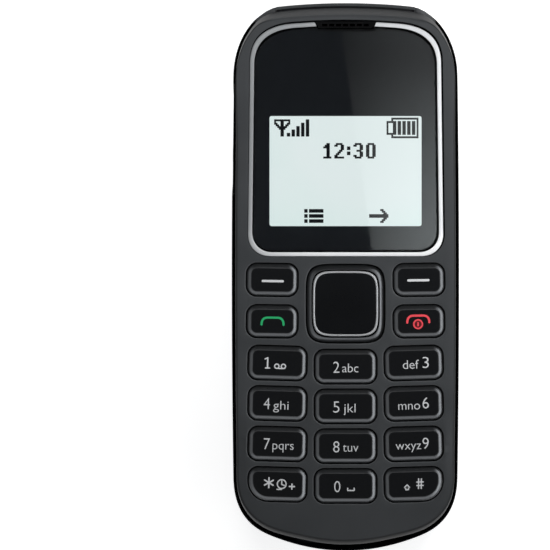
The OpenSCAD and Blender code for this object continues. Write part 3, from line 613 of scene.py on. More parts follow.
def piece(name, skin, material, body, stands_for=(), sharp=32):
    mesh = bpy.data.meshes.new(name)
    mesh.from_pydata([(x * MM, y * MM, z * MM) for x, y, z in skin.points], [], skin.faces)
    mesh.attributes.new("edge", "FLOAT", "POINT").data.foreach_set("value", skin.edge)
    dress(mesh, material, sharp)
    settle(name, mesh, body, stands_for)


# %% [markdown]
# ## Where the band widens
#
# The band between the covers is thin except in two places: a pod around the charging socket on the left
# side and a wide gloss cap on the top end. Both covers step back there, so their rims are not level. These
# functions give each outline point the height of the rim above or below the band.

# %% Band heights
BAND_Z = 8.05
BAND_H = 2.2
SEAM = 0.35
POD_Y, POD_L, POD_H, POD_FLARE, POD_SIDE = 27.0, 15.8, 4.9, 3.6, 1.5
CAP_W, CAP_H, CAP_FLARE, CAP_REACH = 27.0, 7.0, 4.8, 7


def ramp(value, low, high):
    """0 below low and 1 above high, smooth between."""
    t = np.clip((value - low) / (high - low), 0, 1)
    return t * t * (3 - 2 * t)


def swell(distance, half, flare, height):
    """Half the band's height with the seam, at a distance from the middle of a wide part."""
    near = 1 - ramp(np.abs(distance), half + SEAM, half + SEAM + flare)
    return BAND_H / 2 + SEAM + (height - BAND_H) / 2 * near


def band_half_height():
    half = np.full(len(BODY), BAND_H / 2 + SEAM)
    left = BODY[:, 0] < -HALF_W + POD_SIDE
    half = np.where(left, np.maximum(half, swell(BODY[:, 1] - POD_Y, POD_L / 2, POD_FLARE, POD_H)), half)
    top = BODY[:, 1] > HALF_L - CAP_REACH
    return np.where(top, np.maximum(half, swell(BODY[:, 0], CAP_W / 2, CAP_FLARE, CAP_H)), half)


SEAM_HALF = band_half_height()
front_rims = BAND_Z + SEAM_HALF
back_rims = BAND_Z - SEAM_HALF
for side, rims in (("front", front_rims), ("back", back_rims)):
    print(side, "rim from", rims.min().round(2), "to", rims.max().round(2), "mm")

# %% [markdown]
# ## Key holes, window and their outlines
#
# The keypad is a grid of three columns under a square navigation key, with two soft keys and the call and
# end keys beside it. A hole is a rounded rectangle, a little turned in the outer columns. The lower outer
# corners of the last row follow the phone's own corner. All sizes here are in millimetres.

# %% Keypad layout
DIAL_W, MID_W, DIAL_H, KEY_R, CORNER_R = 11.8, 12.5, 7.0, 2.1, 4.2
COLUMN, ROW, DIAL_Y, MID_DROP, MID_EASE, TILT = 13.3, 7.9, -16.8, 0.7, 0.13, 1.6
SOFT_W, SOFT_H, SOFT_R, SOFT_X, SOFT_Y, SOFT_PITCH = 10.35, 6.7, 2.2, 14.325, -0.55, 8.1
NAV_Y, NAV_W, NAV_RING_W, NAV_RING_T, NAV_POWER = -5.2, 15.6, 12.8, 0.42, 0.4
KEY_GAP, LEAST_R = 0.25, 0.25
CORNER_STEPS, SIDE_STEPS = 14, 8


def round_rect(width, height, radii):
    """Radii run from the lower right corner anticlockwise. Long sides get points between the corners."""
    corners = []
    for c, (r, sx, sy) in enumerate(zip(radii, (1, 1, -1, -1), (-1, 1, 1, -1))):
        turn = np.radians(-90 + 90 * c + 90 * np.arange(CORNER_STEPS + 1) / CORNER_STEPS)
        corners.append([sx * (width / 2 - r), sy * (height / 2 - r)] + r * np.c_[np.cos(turn), np.sin(turn)])
    loop = []
    for corner, after in zip(corners, corners[1:] + corners[:1]):
        between = (np.arange(1, SIDE_STEPS) / SIDE_STEPS)[:, None]
        loop += [corner, corner[-1] + (after[0] - corner[-1]) * between]
    return np.vstack(loop)


def turned(loop, degrees, place):
    c, s = cosine(degrees), sine(degrees)
    return loop @ np.array([[c, s], [-s, c]]) + np.array(place)


def dial_key(column, row):
    x = (column - 1) * COLUMN
    y = DIAL_Y - row * ROW - (MID_DROP - row * MID_EASE if column == 1 else 0)
    right, left = (CORNER_R if (row, column) == (3, side) else KEY_R for side in (2, 0))
    return {"place": (x, y), "tilt": (column - 1) * TILT, "size": (MID_W if column == 1 else DIAL_W, DIAL_H),
            "radii": [right, KEY_R, KEY_R, left]}


def soft_key(side, row):
    return {"place": (side * SOFT_X, SOFT_Y - row * SOFT_PITCH), "tilt": side * TILT / 2,
            "size": (SOFT_W, SOFT_H), "radii": [SOFT_R] * 4}


DIAL_NAMES = ["1", "2", "3", "4", "5", "6", "7", "8", "9", "star", "0", "hash"]
KEYS = {"key_" + name: dial_key(k % 3, k // 3) for k, name in enumerate(DIAL_NAMES)}
KEYS.update({"soft_key_left": soft_key(-1, 0), "call_key": soft_key(-1, 1),
             "soft_key_right": soft_key(1, 0), "end_key": soft_key(1, 1)})


def key_loop(key, by):
    """A key's hole, drawn in or let out by an amount."""
    width, height = key["size"]
    loop = round_rect(width + 2 * by, height + 2 * by, [max(r + by, LEAST_R) for r in key["radii"]])
    return turned(loop, key["tilt"], key["place"])


def circle(x, y, radius, count=28):
    a = 2 * np.pi * np.arange(count) / count
    return np.array([x, y]) + radius * np.c_[np.cos(a), np.sin(a)]


def nav_loop(width, count=120):
    """A bowed square with soft corners."""
    unit = circle(0, 0, 1, count)
    raw = np.sign(unit) * np.abs(unit) ** NAV_POWER * width / 2
    return evenly(np.vstack([raw, raw[:1]]), count)[:-1] + [0, NAV_Y]


print("keys:", len(KEYS))

# %% Window outline
WINDOW_W, WINDOW_L, WINDOW_Y = 38.2, 45.95, 4.0
WINDOW_GAP, WINDOW_SHIFT = 0.12, (0.13, 0.14)
WINDOW_FOOT, FOOT_HANDLE, WINDOW_LEAN, WINDOW_CROWN = 4.4, 0.4, 0.4, 0.34
WINDOW_SHOULDER, SIDE_HANDLE, TOP_HANDLE, TOP_FALL = (9.6, 8.2), 0.68, 0.60, 0.15
SLOT_W, SLOT_DEPTH, SLOT_TAPER = 12.1, 1.6, 0.75
SLOT_HIGH = WINDOW_Y + WINDOW_L + 0.25
SLOT_LOW = SLOT_HIGH - SLOT_DEPTH


def window_half(by):
    """The right half of the trim's outline, drawn in by an amount."""
    w, low, high = WINDOW_W / 2 - by, WINDOW_Y + by, WINDOW_Y + WINDOW_L - by
    foot, wide, tall = WINDOW_FOOT - by / 2, WINDOW_SHOULDER[0] - by / 2, WINDOW_SHOULDER[1] - by / 2
    start = np.array([w - WINDOW_LEAN, high - tall])
    end = np.array([w - WINDOW_LEAN - wide, high - WINDOW_CROWN])
    return np.vstack([
        [[0, low]],
        cubic((w - foot, low), (w - FOOT_HANDLE * foot, low), (w, low + FOOT_HANDLE * foot), (w, low + foot)),
        cubic(start, start + [0, SIDE_HANDLE * tall], end + [TOP_HANDLE * wide, -TOP_FALL], end),
        quadratic(end, (end[0] / 2, high), (0, high)),
        [[0, high]]])


def slot_half_width(y, gap=0.0):
    """Half the earpiece slot's width at a height on the front, with a gap around it."""
    t = np.clip((y - SLOT_LOW) / SLOT_DEPTH, 0, 1)
    return SLOT_W / 2 - SLOT_TAPER * (1 - t) + gap


def window_to_slot(by, gap, n):
    """The right half of the window from the bottom to the side of the slot."""
    half = evenly(window_half(by), 600)
    keep = (half[:, 1] < WINDOW_Y + WINDOW_L / 2) | (half[:, 0] > slot_half_width(half[:, 1], gap))
    return evenly(half[keep], n)


def window_hole(by):
    """The hole for the window, a little towards the top right, where a dark line shows beside the trim: a gap
    whose lip and floor are painted shade black.
    """
    return both_sides(evenly(window_half(by), 130)) + WINDOW_SHIFT


print("window", WINDOW_W, "x", WINDOW_L, "mm, slot", SLOT_W, "mm wide")

# %% [markdown]
# ## Front cover
#
# One moulding carries everything at the front. Its sides stand almost upright and turn into the face with a
# small radius, the top end slopes back and the lower end of the face drops to a chin. The skin starts at
# the rim with a rolled lower edge, climbs the sides, fills the face around eighteen openings, goes down
# into each opening over a rounded lip, and comes back on the inside, so that the cover is a closed shell of
# real thickness. A shelf under the window, with an opening for the display, belongs to it.

# %% Front cover
FRONT_IN, TOP_STEP, TOP_SLANT, CHIN_STEP, CHIN_TUCK, SIDE_LEAN = 0.7, 0.05, 1.6, 0.58, 0.77, 0.08
CHIN_RUN, CHIN_DROP, CHIN_START, CHIN_POWER, CHIN_ENDS, CHIN_SIDE = 9.0, 0.54, 2.05, 1.3, 3.05, 1.4
WALL, FACE_IN, LENS_SEAT, PLATE_IN = 1.3, 13.9, 13.7, 12.8
SLANT_FROM, TUCK_FROM, TUCK_RUN = 0.36, 0.4, 0.5
SHOULDER_X, SHOULDER_Y, CORNER_X, CORNER_Y = (13.5, 18.5), (26.0, 44.0), (8.0, 16.0), (36.0, 46.0)
SHOULDER_SLANT, SHOULDER_OUT, SHOULDER_UP, CORNER_OUT, CORNER_DOWN = 0.5, 0.3, 0.42, 0.35, 0.3
LOW_END, LOW_RUN, TOP_END, TOP_RUN = 12, 10, 8, 6
EDGE_R, EDGE_LESS_LOW, EDGE_LESS_SHOULDER = 0.55, 0.2, 0.38
low_half = body_half()
low_half = low_half[low_half[:, 1] < 0]


def face_height(points):
    """The face is level, and drops towards the bottom end."""
    across = np.clip(np.abs(points[:, 0]) * HALF_W / (HALF_W - CHIN_SIDE), 0, HALF_W - 0.2)
    order = np.argsort(low_half[:, 0])
    ends = np.interp(across, low_half[order, 0], low_half[order, 1]) + HALF_L
    inset = (points[:, 1] + HALF_L - ends * (1 - CHIN_ENDS / LENGTH)) / (1 - ends / LENGTH)
    up = np.clip((inset - CHIN_START) / CHIN_RUN, 0, 1) ** (1 / CHIN_POWER)
    return FACE - CHIN_DROP * (1 - up)


shoulder = ramp(np.abs(BODY[:, 0]), *SHOULDER_X) * ramp(BODY[:, 1], *SHOULDER_Y)
low_corner = ramp(np.abs(BODY[:, 0]), *CORNER_X) * ramp(-BODY[:, 1], *CORNER_Y)
low_end = np.clip((-HALF_L + LOW_END - BODY[:, 1]) / LOW_RUN, 0, 1)
top_end = np.clip((BODY[:, 1] - HALF_L + TOP_END) / TOP_RUN, 0, 1)
edge_radius = EDGE_R - EDGE_LESS_LOW * low_end - EDGE_LESS_SHOULDER * shoulder


def front_loop(height, face):
    """The cover's outside at a height for each outline point, where the face has its own height there."""
    up = np.clip((height - FRONT_RIM) / (FACE - FRONT_RIM), 0, 1)
    bend = np.clip((height - face + edge_radius) / edge_radius, 0, 1)
    edge = edge_radius * (1 - np.sqrt(1 - bend**2))
    slant = TOP_SLANT * np.clip((up - SLANT_FROM) / (1 - SLANT_FROM), 0, 1) * (1 - SHOULDER_SLANT * shoulder)
    tuck = CHIN_TUCK * np.clip((up - TUCK_FROM) / TUCK_RUN, 0, 1) ** 2
    side = FRONT_IN * (1 - SHOULDER_OUT * shoulder - CORNER_OUT * low_corner) + SIDE_LEAN * (1 - up)
    top = (FRONT_IN + TOP_STEP) * (1 - SHOULDER_UP * shoulder) + slant
    bottom = (FRONT_IN + CHIN_STEP) * (1 - CORNER_DOWN * low_corner) + tuck
    return drawn_in(side + edge, top + edge, bottom + edge)


face_at_edge = np.full(len(BODY), FACE)
for _ in range(4):
    face_at_edge = face_height(front_loop(face_at_edge, face_at_edge))

cover = Skin()
ROLL = 0.16
rings = []
# Painted shade: the rolled rim in the seam is painted black, and half black at its top.
for a in (0, 30, 60, 90):
    z = front_rims + ROLL * (1 - cosine(a))
    loop = grown(front_loop(z, face_at_edge), -ROLL * (1 - sine(a)))
    rings.append(cover.ring(loop, z, edge=-1.0 if a < 90 else -0.5))
straight_top = face_at_edge - edge_radius
# Painted shade: the sides and the rounded edge are painted darker, more at the top end, the shoulders and the
# chin, less on the rounding towards the face.
SIDE_DARK, TOP_DARK, SHOULDER_DARK, BEND_DARK, LOW_PALE, TOP_PALE = 0.45, 0.52, 0.6, 0.75, 0.12, 0.7
for f, chin_dark in ((0.2, 1), (0.45, 1), (0.7, 0.97), (0.88, 0.85), (1.0, 0.75)):
    z = front_rims + ROLL + f * (straight_top - front_rims - ROLL)
    dark = SIDE_DARK + (TOP_DARK - SIDE_DARK) * top_end
    dark = dark + SHOULDER_DARK * shoulder * (1 - dark)
    dark = dark + (chin_dark - dark) * low_end
    rings.append(cover.ring(front_loop(z, face_at_edge), z, edge=-dark))
bend_dark = BEND_DARK * (1 - LOW_PALE * low_end) * (1 - TOP_PALE * top_end * (1 - shoulder))
for a in (15, 30, 45, 60, 75, 90):
    z = straight_top + edge_radius * sine(a)
    rings.append(cover.ring(front_loop(z, face_at_edge), z, edge=-bend_dark * (1 - (a / 90) ** 2)))
cover.join(*rings)

# The lips of the key holes are paler, partly wear and partly a painted highlight; the window's lip and wall
# are painted shade black.
LIP, LIP_WEAR_AND_HIGHLIGHT = 0.22, 0.45
WINDOW_LIP, WINDOW_LIP_SHADE = 0.08, -1.0
holes = {name: key_loop(key, 0) for name, key in KEYS.items()}
holes["nav"] = nav_loop(NAV_W)
holes["window"] = window_hole(-WINDOW_GAP)
lips, feet = [], []
for name, loop in holes.items():
    around = []
    lip, wear = (WINDOW_LIP, WINDOW_LIP_SHADE) if name == "window" else (LIP, LIP_WEAR_AND_HIGHLIGHT)
    for a in (0, 25, 50, 75, 90):
        spread = grown(loop, lip * (1 - sine(a)))
        z = face_height(spread) - lip * (1 - cosine(a))
        around.append(cover.ring(spread, z, edge=wear if a > 0 else 0.0))
    around.append(cover.ring(loop, FACE_IN, edge=min(wear, 0.0)))
    cover.join(*around)
    lips.append(around[0])
    feet.append(around[-1])
cover.fill(rings[-1], lips, face_height, spacing=1.1)

wall_in = FRONT_IN + WALL
RIM_TOP, ROOF_SIDE, ROOF_TOP, ROOF_LOW = 0.3, 0.15, 1.5, 0.9
rim_in = cover.ring(drawn_in(wall_in, wall_in + RIM_TOP, wall_in), front_rims)
roof = cover.ring(drawn_in(wall_in + ROOF_SIDE, wall_in + ROOF_TOP, wall_in + ROOF_LOW), FACE_IN)
cover.join(rings[0], rim_in, roof)
cover.fill(roof, feet)

SHELF_OUT, SHELF_TOP, SHELF_HOLE, SHELF_R, SHELF_Y = 0.3, FACE_IN - 0.21, (32.7, 24.5), 0.4, 20.7
shelf_outline = grown(window_hole(-WINDOW_GAP), SHELF_OUT)
shelf_hole = round_rect(*SHELF_HOLE, [SHELF_R] * 4) + [0, SHELF_Y]
# Painted shade: the shelf's upper faces are painted black, so that the gap beside the trim looks dark.
outer, outer_top = cover.ring(shelf_outline, PLATE_IN), cover.ring(shelf_outline, SHELF_TOP, edge=-1.0)
inner, inner_top = cover.ring(shelf_hole, PLATE_IN), cover.ring(shelf_hole, SHELF_TOP, edge=-1.0)
cover.join(outer, outer_top)
cover.join(inner, inner_top)
cover.fill(outer, [inner])
cover.fill(outer_top, [inner_top])
piece("front_shell", cover, front_plastic, "phone", ["front_cover"])

# %% [markdown]
# ## Back cover
#
# The back is a shallow tray: round sides, ends that curve up, and a flat middle that it rests on. Near the
# top it has three sound slots. Its surface is the outline drawn in more and more towards the floor. The
# part around the slots isn't flat, so the height of a point there is found by closing in on the ring it
# lies on.

# %% Back cover
BACK_ROUND, END_ROUND, CROWN_RUN, CROWN_H, RIM_ROUND = 5.5, 9.0, 18.0, 1.2, 0.3
SLOTS_Y, SLOT_PITCH, SOUND_SLOT, SOUND_R, SOUND_WEAR = HALF_L - 15.5, 1.8, (8, 0.9), 0.44, 0.6
SOUND_LIP = [(0.18, 0.0), (0.06, 0.05), (0.0, 0.18)]
RIM_DROP, UNDER_RIM, UNDER_FALL, END_MORE, TRAY_END = 0.005, 0.3, 0.4, 2, 10.6
FIELD_TOP, FLAT, HALVINGS = 1.3, 0.002, 18


def back_insets(height):
    k = np.clip(1 - height / (BACK_RIM - RIM_ROUND), 0, 1)
    bend = 1 - np.sqrt(1 - k * k)
    lift = CROWN_RUN * np.clip(1 - height / CROWN_H, 0, 1) ** 2
    return BACK_ROUND * bend, END_ROUND * bend + lift


def back_height(points):
    low, high = np.zeros(len(points)), np.full(len(points), FIELD_TOP)
    for _ in range(HALVINGS):
        z = (low + high) / 2
        side, end = back_insets(z)
        body = np.c_[points[:, 0] * HALF_W / (HALF_W - side), points[:, 1] * HALF_L / (HALF_L - end)]
        within = inside(body, BODY)
        high = np.where(within, z, high)
        low = np.where(within, low, z)
    return np.where(high < FLAT, 0.0, high)


def back_loop(height, rim):
    side, end = back_insets(height)
    roll = np.clip((height - rim + RIM_ROUND) / RIM_ROUND, 0, 1)
    rolled = RIM_ROUND * (1 - np.sqrt(1 - roll**2))
    return drawn_in(side + rolled, end + rolled, end + rolled)


tray = Skin()
rings = []
for f in (0, 0.06, 0.14, 0.24, 0.36, 0.5, 0.65, 0.8, 0.92):
    z = FIELD_TOP + f * (back_rims - RIM_ROUND - FIELD_TOP)
    rings.append(tray.ring(back_loop(z, back_rims), z))
# Painted shade: the rim's roll and its flat top in the seam are painted black, half black where the roll
# starts.
for a in (0, 20, 40, 60, 80):
    z = back_rims - RIM_ROUND + RIM_ROUND * sine(a)
    rings.append(tray.ring(back_loop(z, back_rims), z, edge=-1.0 if a > 10 else -0.5))
rings.append(tray.ring(drawn_in(WALL, WALL, WALL), back_rims - RIM_DROP, edge=-1.0))
DEPTH = BACK_RIM - CROWN_H
for f in (0.8, 0.55, 0.32, 0.15, 0.05):
    bow = 1 - math.sqrt(1 - (1 - f) ** 2)
    end = WALL + END_ROUND * bow + END_MORE * (1 - f) ** 4
    z = np.minimum(CROWN_H + f * DEPTH, back_rims - UNDER_RIM - UNDER_FALL * (1 - f))
    rings.append(tray.ring(drawn_in(WALL + BACK_ROUND * bow, end, end), z))
rings.append(tray.ring(drawn_in(WALL + BACK_ROUND, WALL + TRAY_END, WALL + TRAY_END), CROWN_H))
tray.join(*rings)
lips, feet = [], []
for k in (-1, 0, 1):
    loop = round_rect(*SOUND_SLOT, [SOUND_R] * 4) + [0, SLOTS_Y + SLOT_PITCH * k]
    around = []
    for spread, drop in SOUND_LIP:
        wide = grown(loop, spread)
        around.append(tray.ring(wide, back_height(wide) + drop, edge=SOUND_WEAR))
    around.append(tray.ring(loop, CROWN_H))
    tray.join(*around)
    lips.append(around[0])
    feet.append(around[-1])
tray.fill(rings[0], lips, back_height, spacing=1.3)
tray.fill(rings[-1], feet)
piece("back_shell", tray, back_plastic, "back_cover", ["back_cover"])

# %% [markdown]
# ## Band, cap and other pieces kept from the solids
#
# The band between the covers is one moulding with the tray inside it. Its solid already has the right
# shape, but its edges are knife sharp. A copy is merged, cleared of needless edges and given a small bevel,
# and the bevel's faces get the edge value, so that they look paler, partly as corners wear and partly as a
# painted highlight. The level faces of its outer ledges get painted shade black.


# %% Softened copies
WORN_AND_LIT_EDGE, PAINTED_SHADE_LEDGE, LONGEST_STRIP, LEAST_SLOPE, MOST_SLOPE, LEVEL = 0.8, -1.0, 0.02, 0.2, 0.6, 0.8


def softened(node, name, material, body, bevel=0.08, sharp=25, tune=None):
    """A bevelled copy of a solid. tune(points, values) may change the points, in mm, and the edge values."""
    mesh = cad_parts[node].data.copy()
    mesh.name = name
    work = bmesh.new()
    work.from_mesh(mesh)
    bmesh.ops.remove_doubles(work, verts=work.verts, dist=1e-6)
    bmesh.ops.dissolve_limit(work, angle_limit=math.radians(1), verts=work.verts, edges=work.edges)
    work.to_mesh(mesh)
    work.free()
    rough = in_scene(name + "_rough", mesh)
    cut = rough.modifiers.new("bevel", "BEVEL")
    cut.width = bevel * MM
    cut.segments = 2
    cut.limit_method = "ANGLE"
    cut.angle_limit = math.radians(50)
    soft = frozen(rough)
    soft.name = name
    lit = np.zeros(len(soft.vertices))
    # Narrow sloping bevel faces get a paler edge, partly wear and partly a painted highlight; level faces get
    # painted shade black.
    for face in soft.polygons:
        narrow = face.area < (3 * bevel * MM) * LONGEST_STRIP
        if narrow and LEAST_SLOPE < abs(face.normal.z) < MOST_SLOPE:
            lit[list(face.vertices)] = WORN_AND_LIT_EDGE
    for face in soft.polygons:
        if abs(face.normal.z) > LEVEL:
            lit[list(face.vertices)] = PAINTED_SHADE_LEDGE
    if tune:
        points, lit = tune(np.array([tuple(v.co) for v in soft.vertices]) / MM, lit)
        soft.vertices.foreach_set("co", (points * MM).ravel())
    soft.attributes.new("edge", "FLOAT", "POINT").data.foreach_set("value", lit)
    dress(soft, material, sharp)
    settle(name, soft, body, [node])


gloss_black = Finish("torch_black", {"IOR": 1.5, "Coat Roughness": 0.04})
swirl = gloss_black.noise(900, 3)
gloss = gloss_black.mix(swirl, tone(14, 14, 15), tone(20, 20, 22))
# Painted highlight: the cap's front side turns a paler satin grey by its edge value.
satin = gloss_black.mask("edge")
gloss_black.wear({"Base Color": gloss_black.mix(satin, gloss, tone(60, 62, 63)),
                  "Roughness": 0.16 + 0.10 * swirl + 0.2 * satin,
                  "Coat Weight": 0.5 + 0.2 * swirl - 0.4 * satin,
                  "Normal": gloss_black.bump(swirl, 0.1, 0.000004)})
POD_PROUD, FLARE_PROUD, FLARE_ROOT, FLARE_FULL = 0.16, 0.28, HALF_L - 9, HALF_L - 4
OUTER_SKIN, LEDGE_W, FLARE_ABOVE, FLARE_EDGE = 0.5, 2.2, 0.1, 0.3


def proud_flares(points, values):
    """Brings the band's wide parts out, and keeps the painted shade of the ledges off the tray inside."""
    outer = ~inside(points[:, :2], drawn_in(*[OUTER_SKIN] * 3))
    values = np.where(inside(points[:, :2], drawn_in(*[LEDGE_W] * 3)), 0.0, values)
    on_top = ramp(points[:, 1], FLARE_ROOT, FLARE_FULL) * (np.abs(points[:, 0]) > CAP_W / 2)
    reach = np.abs(points[:, 1] - POD_Y) - POD_L / 2
    on_pod = np.where(points[:, 0] < POD_SIDE - HALF_W, 1 - ramp(reach, 0, POD_FLARE), 0)
    moved = points.copy()
    heading = points[:, :2] - np.c_[np.sign(points[:, 0]) * CAP_W / 2, np.full(len(points), FLARE_ROOT)]
    heading /= np.maximum(np.hypot(*heading.T), 1e-6)[:, None]
    moved[:, :2] += (outer * on_top * FLARE_PROUD)[:, None] * heading
    moved[:, 0] -= outer * on_pod * POD_PROUD
    # The flares' outer faces above the band get a paler edge, partly wear and partly a painted highlight.
    flare = (points[:, 1] > FLARE_ROOT) & (points[:, 2] > BAND_Z + BAND_H / 2 + FLARE_ABOVE)
    return moved, np.where(outer & flare, FLARE_EDGE, values)


softened("middle_frame", "band", band_plastic, "phone", tune=proud_flares)

# %% [markdown]
# ## Torch cap
#
# The gloss cap on the top end follows the arch of the outline, and its two ends run into the band. It is
# drawn flat, as a long rounded bar with a round hole, and then stood up: what was height becomes the
# distance along the phone.

# %% Torch cap
CAP_T, CAP_END, CAP_SINK, CAP_EDGE, TORCH_HOLE = 1.6, 3.2, 0.02, 0.22, 2.35
CAP_MORE, CAP_R, CAP_FRONT, CROWN_LOW = 0.34, 0.3, 0.4, HALF_L - 4
# A ring's second number is 1 where the front side gets the paler grey, a painted highlight.
CAP_RINGS = [(CAP_T, 0.0), (0.62, 0.0), (0.54, 1.0)]
BORE_RINGS = [(0.15, 0.0), (0.05, 0.04), (0.0, 0.15), (0.0, CAP_T)]
crown = body_half()
crown = crown[crown[:, 1] > CROWN_LOW][::-1]


def cap_out(points):
    """How far out the cap's face lies at each point of the flat drawing."""
    x = np.abs(points[:, 0])
    return np.interp(x, crown[:, 0], crown[:, 1]) - CAP_SINK * ramp(x, CAP_W / 2 - CAP_END, CAP_W / 2)


def stood_up(skin):
    skin.points = [(x, height, BAND_Z + across) for x, across, height in skin.points]
    return skin


cap = Skin()
corners = round_rect(CAP_W + CAP_MORE, CAP_H, [CAP_R] * 4)
cap_outline = np.vstack([a + (b - a) * (np.arange(6) / 6)[:, None]
                         for a, b in zip(corners, np.roll(corners, -1, axis=0))])
front_side = np.where(cap_outline[:, 1] > CAP_H / 2 - CAP_FRONT, 1.0, 0.0)
rings = []
for depth, pale in CAP_RINGS:
    rings.append(cap.ring(cap_outline, cap_out(cap_outline) - depth, pale * front_side))
for a in (0, 25, 50, 75, 90):
    loop = grown(cap_outline, -CAP_EDGE * (1 - cosine(a)))
    rings.append(cap.ring(loop, cap_out(loop) - CAP_EDGE * (1 - sine(a)), front_side))
cap.join(*rings)
bore = []
for by, drop in BORE_RINGS:
    loop = circle(0, 0, TORCH_HOLE + by, 56)
    bore.append(cap.ring(loop, cap_out(loop) - drop))
cap.join(*bore)
cap.fill(rings[-1], [bore[0]], cap_out, spacing=0.7)
cap.fill(rings[0], [bore[-1]], lambda points: cap_out(points) - CAP_T, spacing=0.7)
piece("torch_cap_gloss", stood_up(cap), gloss_black.material, "phone", ["torch_cap"])

# %% [markdown]
# ## Keys
#
# A key stands a little out of the cover. Its flat top is near black, and a sloping edge 0.8 mm wide runs
# round it, which catches the low light from three sides and stays dark on the fourth. The slope is the same
# black plastic as the top, painted a pale metal as a painted highlight. Each key is a skin over rings: a
# flange under the cover, an upright stem in the hole, the slope with softened corners, and the top.

# %% Key finish and shapes
def painted_highlight_slope(name, slope_dark, slope_pale):
    """Near black on the flat. Where the mesh's edge value is 1 it is a pale metal, a painted highlight on the
    black plastic, and below 0 a painted shade black.
    """
    made = Finish(name, {"IOR": 1.62})
    silk = made.noise(2600, 2)
    edge = made.mask("edge")
    slope = made.steps(edge, 0.0, 1.0)
    painted_shade = made.steps(0 - edge, 0.0, 1.0)
    flat = made.mix(silk, tone(13, 14, 16), tone(19, 20, 22))
    colour = made.mix(slope, flat, made.mix(silk, slope_dark, slope_pale))
    made.wear({"Base Color": made.mix(painted_shade, colour, PAINTED_SHADE_BLACK), "Metallic": 0.95 * slope + painted_shade,
               "Roughness": 0.28 + 0.06 * silk - 0.02 * slope,
               "Normal": made.bump(silk, 0.1, 0.000003)})
    return made.material


# Painted highlight: the pale metal tones of the key slopes.
key_black = painted_highlight_slope("key_black", tone(110, 112, 114), tone(120, 121, 123))
KEY_FLANGE, KEY_FLANGE_LOW, KEY_FLANGE_TOP, FOOT_R, FOOT_ROOT = 0.3, 13.35, 13.85, 0.9, 0.05
# The third number of a step is its edge value: 1 gives the slope's painted highlight.
SLOPE_PROFILE = [(0, 0.70, 0), (0.01, 0.60, 0.6), (0.04, 0.54, 1), (0.36, 0.31, 1), (0.66, 0.10, 1),
                 (0.74, 0.055, 0.9), (0.82, 0.022, 0.3), (0.92, 0.006, 0), (1.06, 0, 0), (1.22, 0, 0)]
PRINT, PRINT_ROOT = 0.012, 0.02
key_high = {name: box_mm(name)[1][2] - PRINT for name in KEYS}


def round_foot(skin, place, low, high):
    """A plunger under a key, as a closed round bar."""
    loop = circle(*place, FOOT_R, 24)
    skin.closed([skin.ring(loop, low), skin.ring(loop, high)])


for name, key in KEYS.items():
    skin, top = Skin(), key_high[name]
    profile = [(KEY_FLANGE, KEY_FLANGE_LOW), (KEY_FLANGE, KEY_FLANGE_TOP), (-KEY_GAP, KEY_FLANGE_TOP)]
    profile += [(-KEY_GAP - by, top - drop, edge) for by, drop, edge in SLOPE_PROFILE]
    skin.closed(skin.stack(lambda by: key_loop(key, by), profile))
    round_foot(skin, key["place"], box_mm(name)[0][2], KEY_FLANGE_LOW + FOOT_ROOT)
    piece(name + "_cap", skin, key_black, name, [name], sharp=50)

# %% [markdown]
# ## Navigation key
#
# The square key rocks in four directions. A dark sloping rim carries a bright ring, and a flat plate lies
# in the ring. The plate has a satin skin, finer than the covers, and the ring is bright metal with a
# rounded top.

# %% Bright metal
bright = Finish("bright_trim", {"Metallic": 0.5, "IOR": 1.6})
haze = bright.noise(60, 2)
specks = bright.noise(3000, 2)
bright.wear({"Base Color": bright.mix(haze, tone(206, 208, 210), tone(216, 217, 219)),
             "Roughness": 0.30 + 0.08 * specks, "Normal": bright.bump(specks, 0.06, 0.000002)})
# Painted highlight: the pale metal tones of the rim's slope.
nav_grey = painted_highlight_slope("nav_grey", tone(108, 110, 112), tone(118, 119, 121))
nav_black = moulded("nav_black", tone(13, 14, 16), tone(18, 19, 21), 0.3, 0.000008)
print("finishes:", bright.material.name, nav_grey.name, nav_black.name)

# %% Navigation key pieces
NAV_SEAT, NAV_FLANGE, NAV_FLANGE_LOW, NAV_FLANGE_TOP = 14.3, 0.4, 12.82, 13.3
NAV_FOOT_OUT, NAV_FOOT_TOP, NAV_GROOVE = 5.2, 12.9, 0.1
top = box_mm("nav_rim")[1][2]
flange, stem, groove = NAV_W + NAV_FLANGE, NAV_W - 2 * KEY_GAP, NAV_RING_W + NAV_GROOVE
rim = Skin()
# Edge values: the slope from 0.5 to 1 gets the painted highlight, and the groove at -1 painted shade black.
rim.closed(rim.stack(nav_loop, [
    (flange, NAV_FLANGE_LOW), (flange, NAV_FLANGE_TOP), (stem, NAV_FLANGE_TOP), (stem, top - 0.74),
    (stem - 0.04, top - 0.64, 0.5), (stem - 0.10, top - 0.58, 1), (stem - 1.56, top - 0.04, 1),
    (stem - 1.68, top - 0.005, 0.8), (stem - 1.76, top - 0.03, 0.2), (groove + 0.34, top - 0.12, -1),
    (groove + 0.32, top - 0.5, -1), (groove, top - 0.5, -1), (groove, NAV_SEAT, -1)]))
for a in (0, 90, 180, 270):
    foot = (NAV_FOOT_OUT * cosine(a), NAV_Y + NAV_FOOT_OUT * sine(a))
    round_foot(rim, foot, box_mm("nav_rim")[0][2], NAV_FOOT_TOP)
piece("nav_rim_soft", rim, nav_grey, "nav_key", ["nav_rim"], sharp=50)

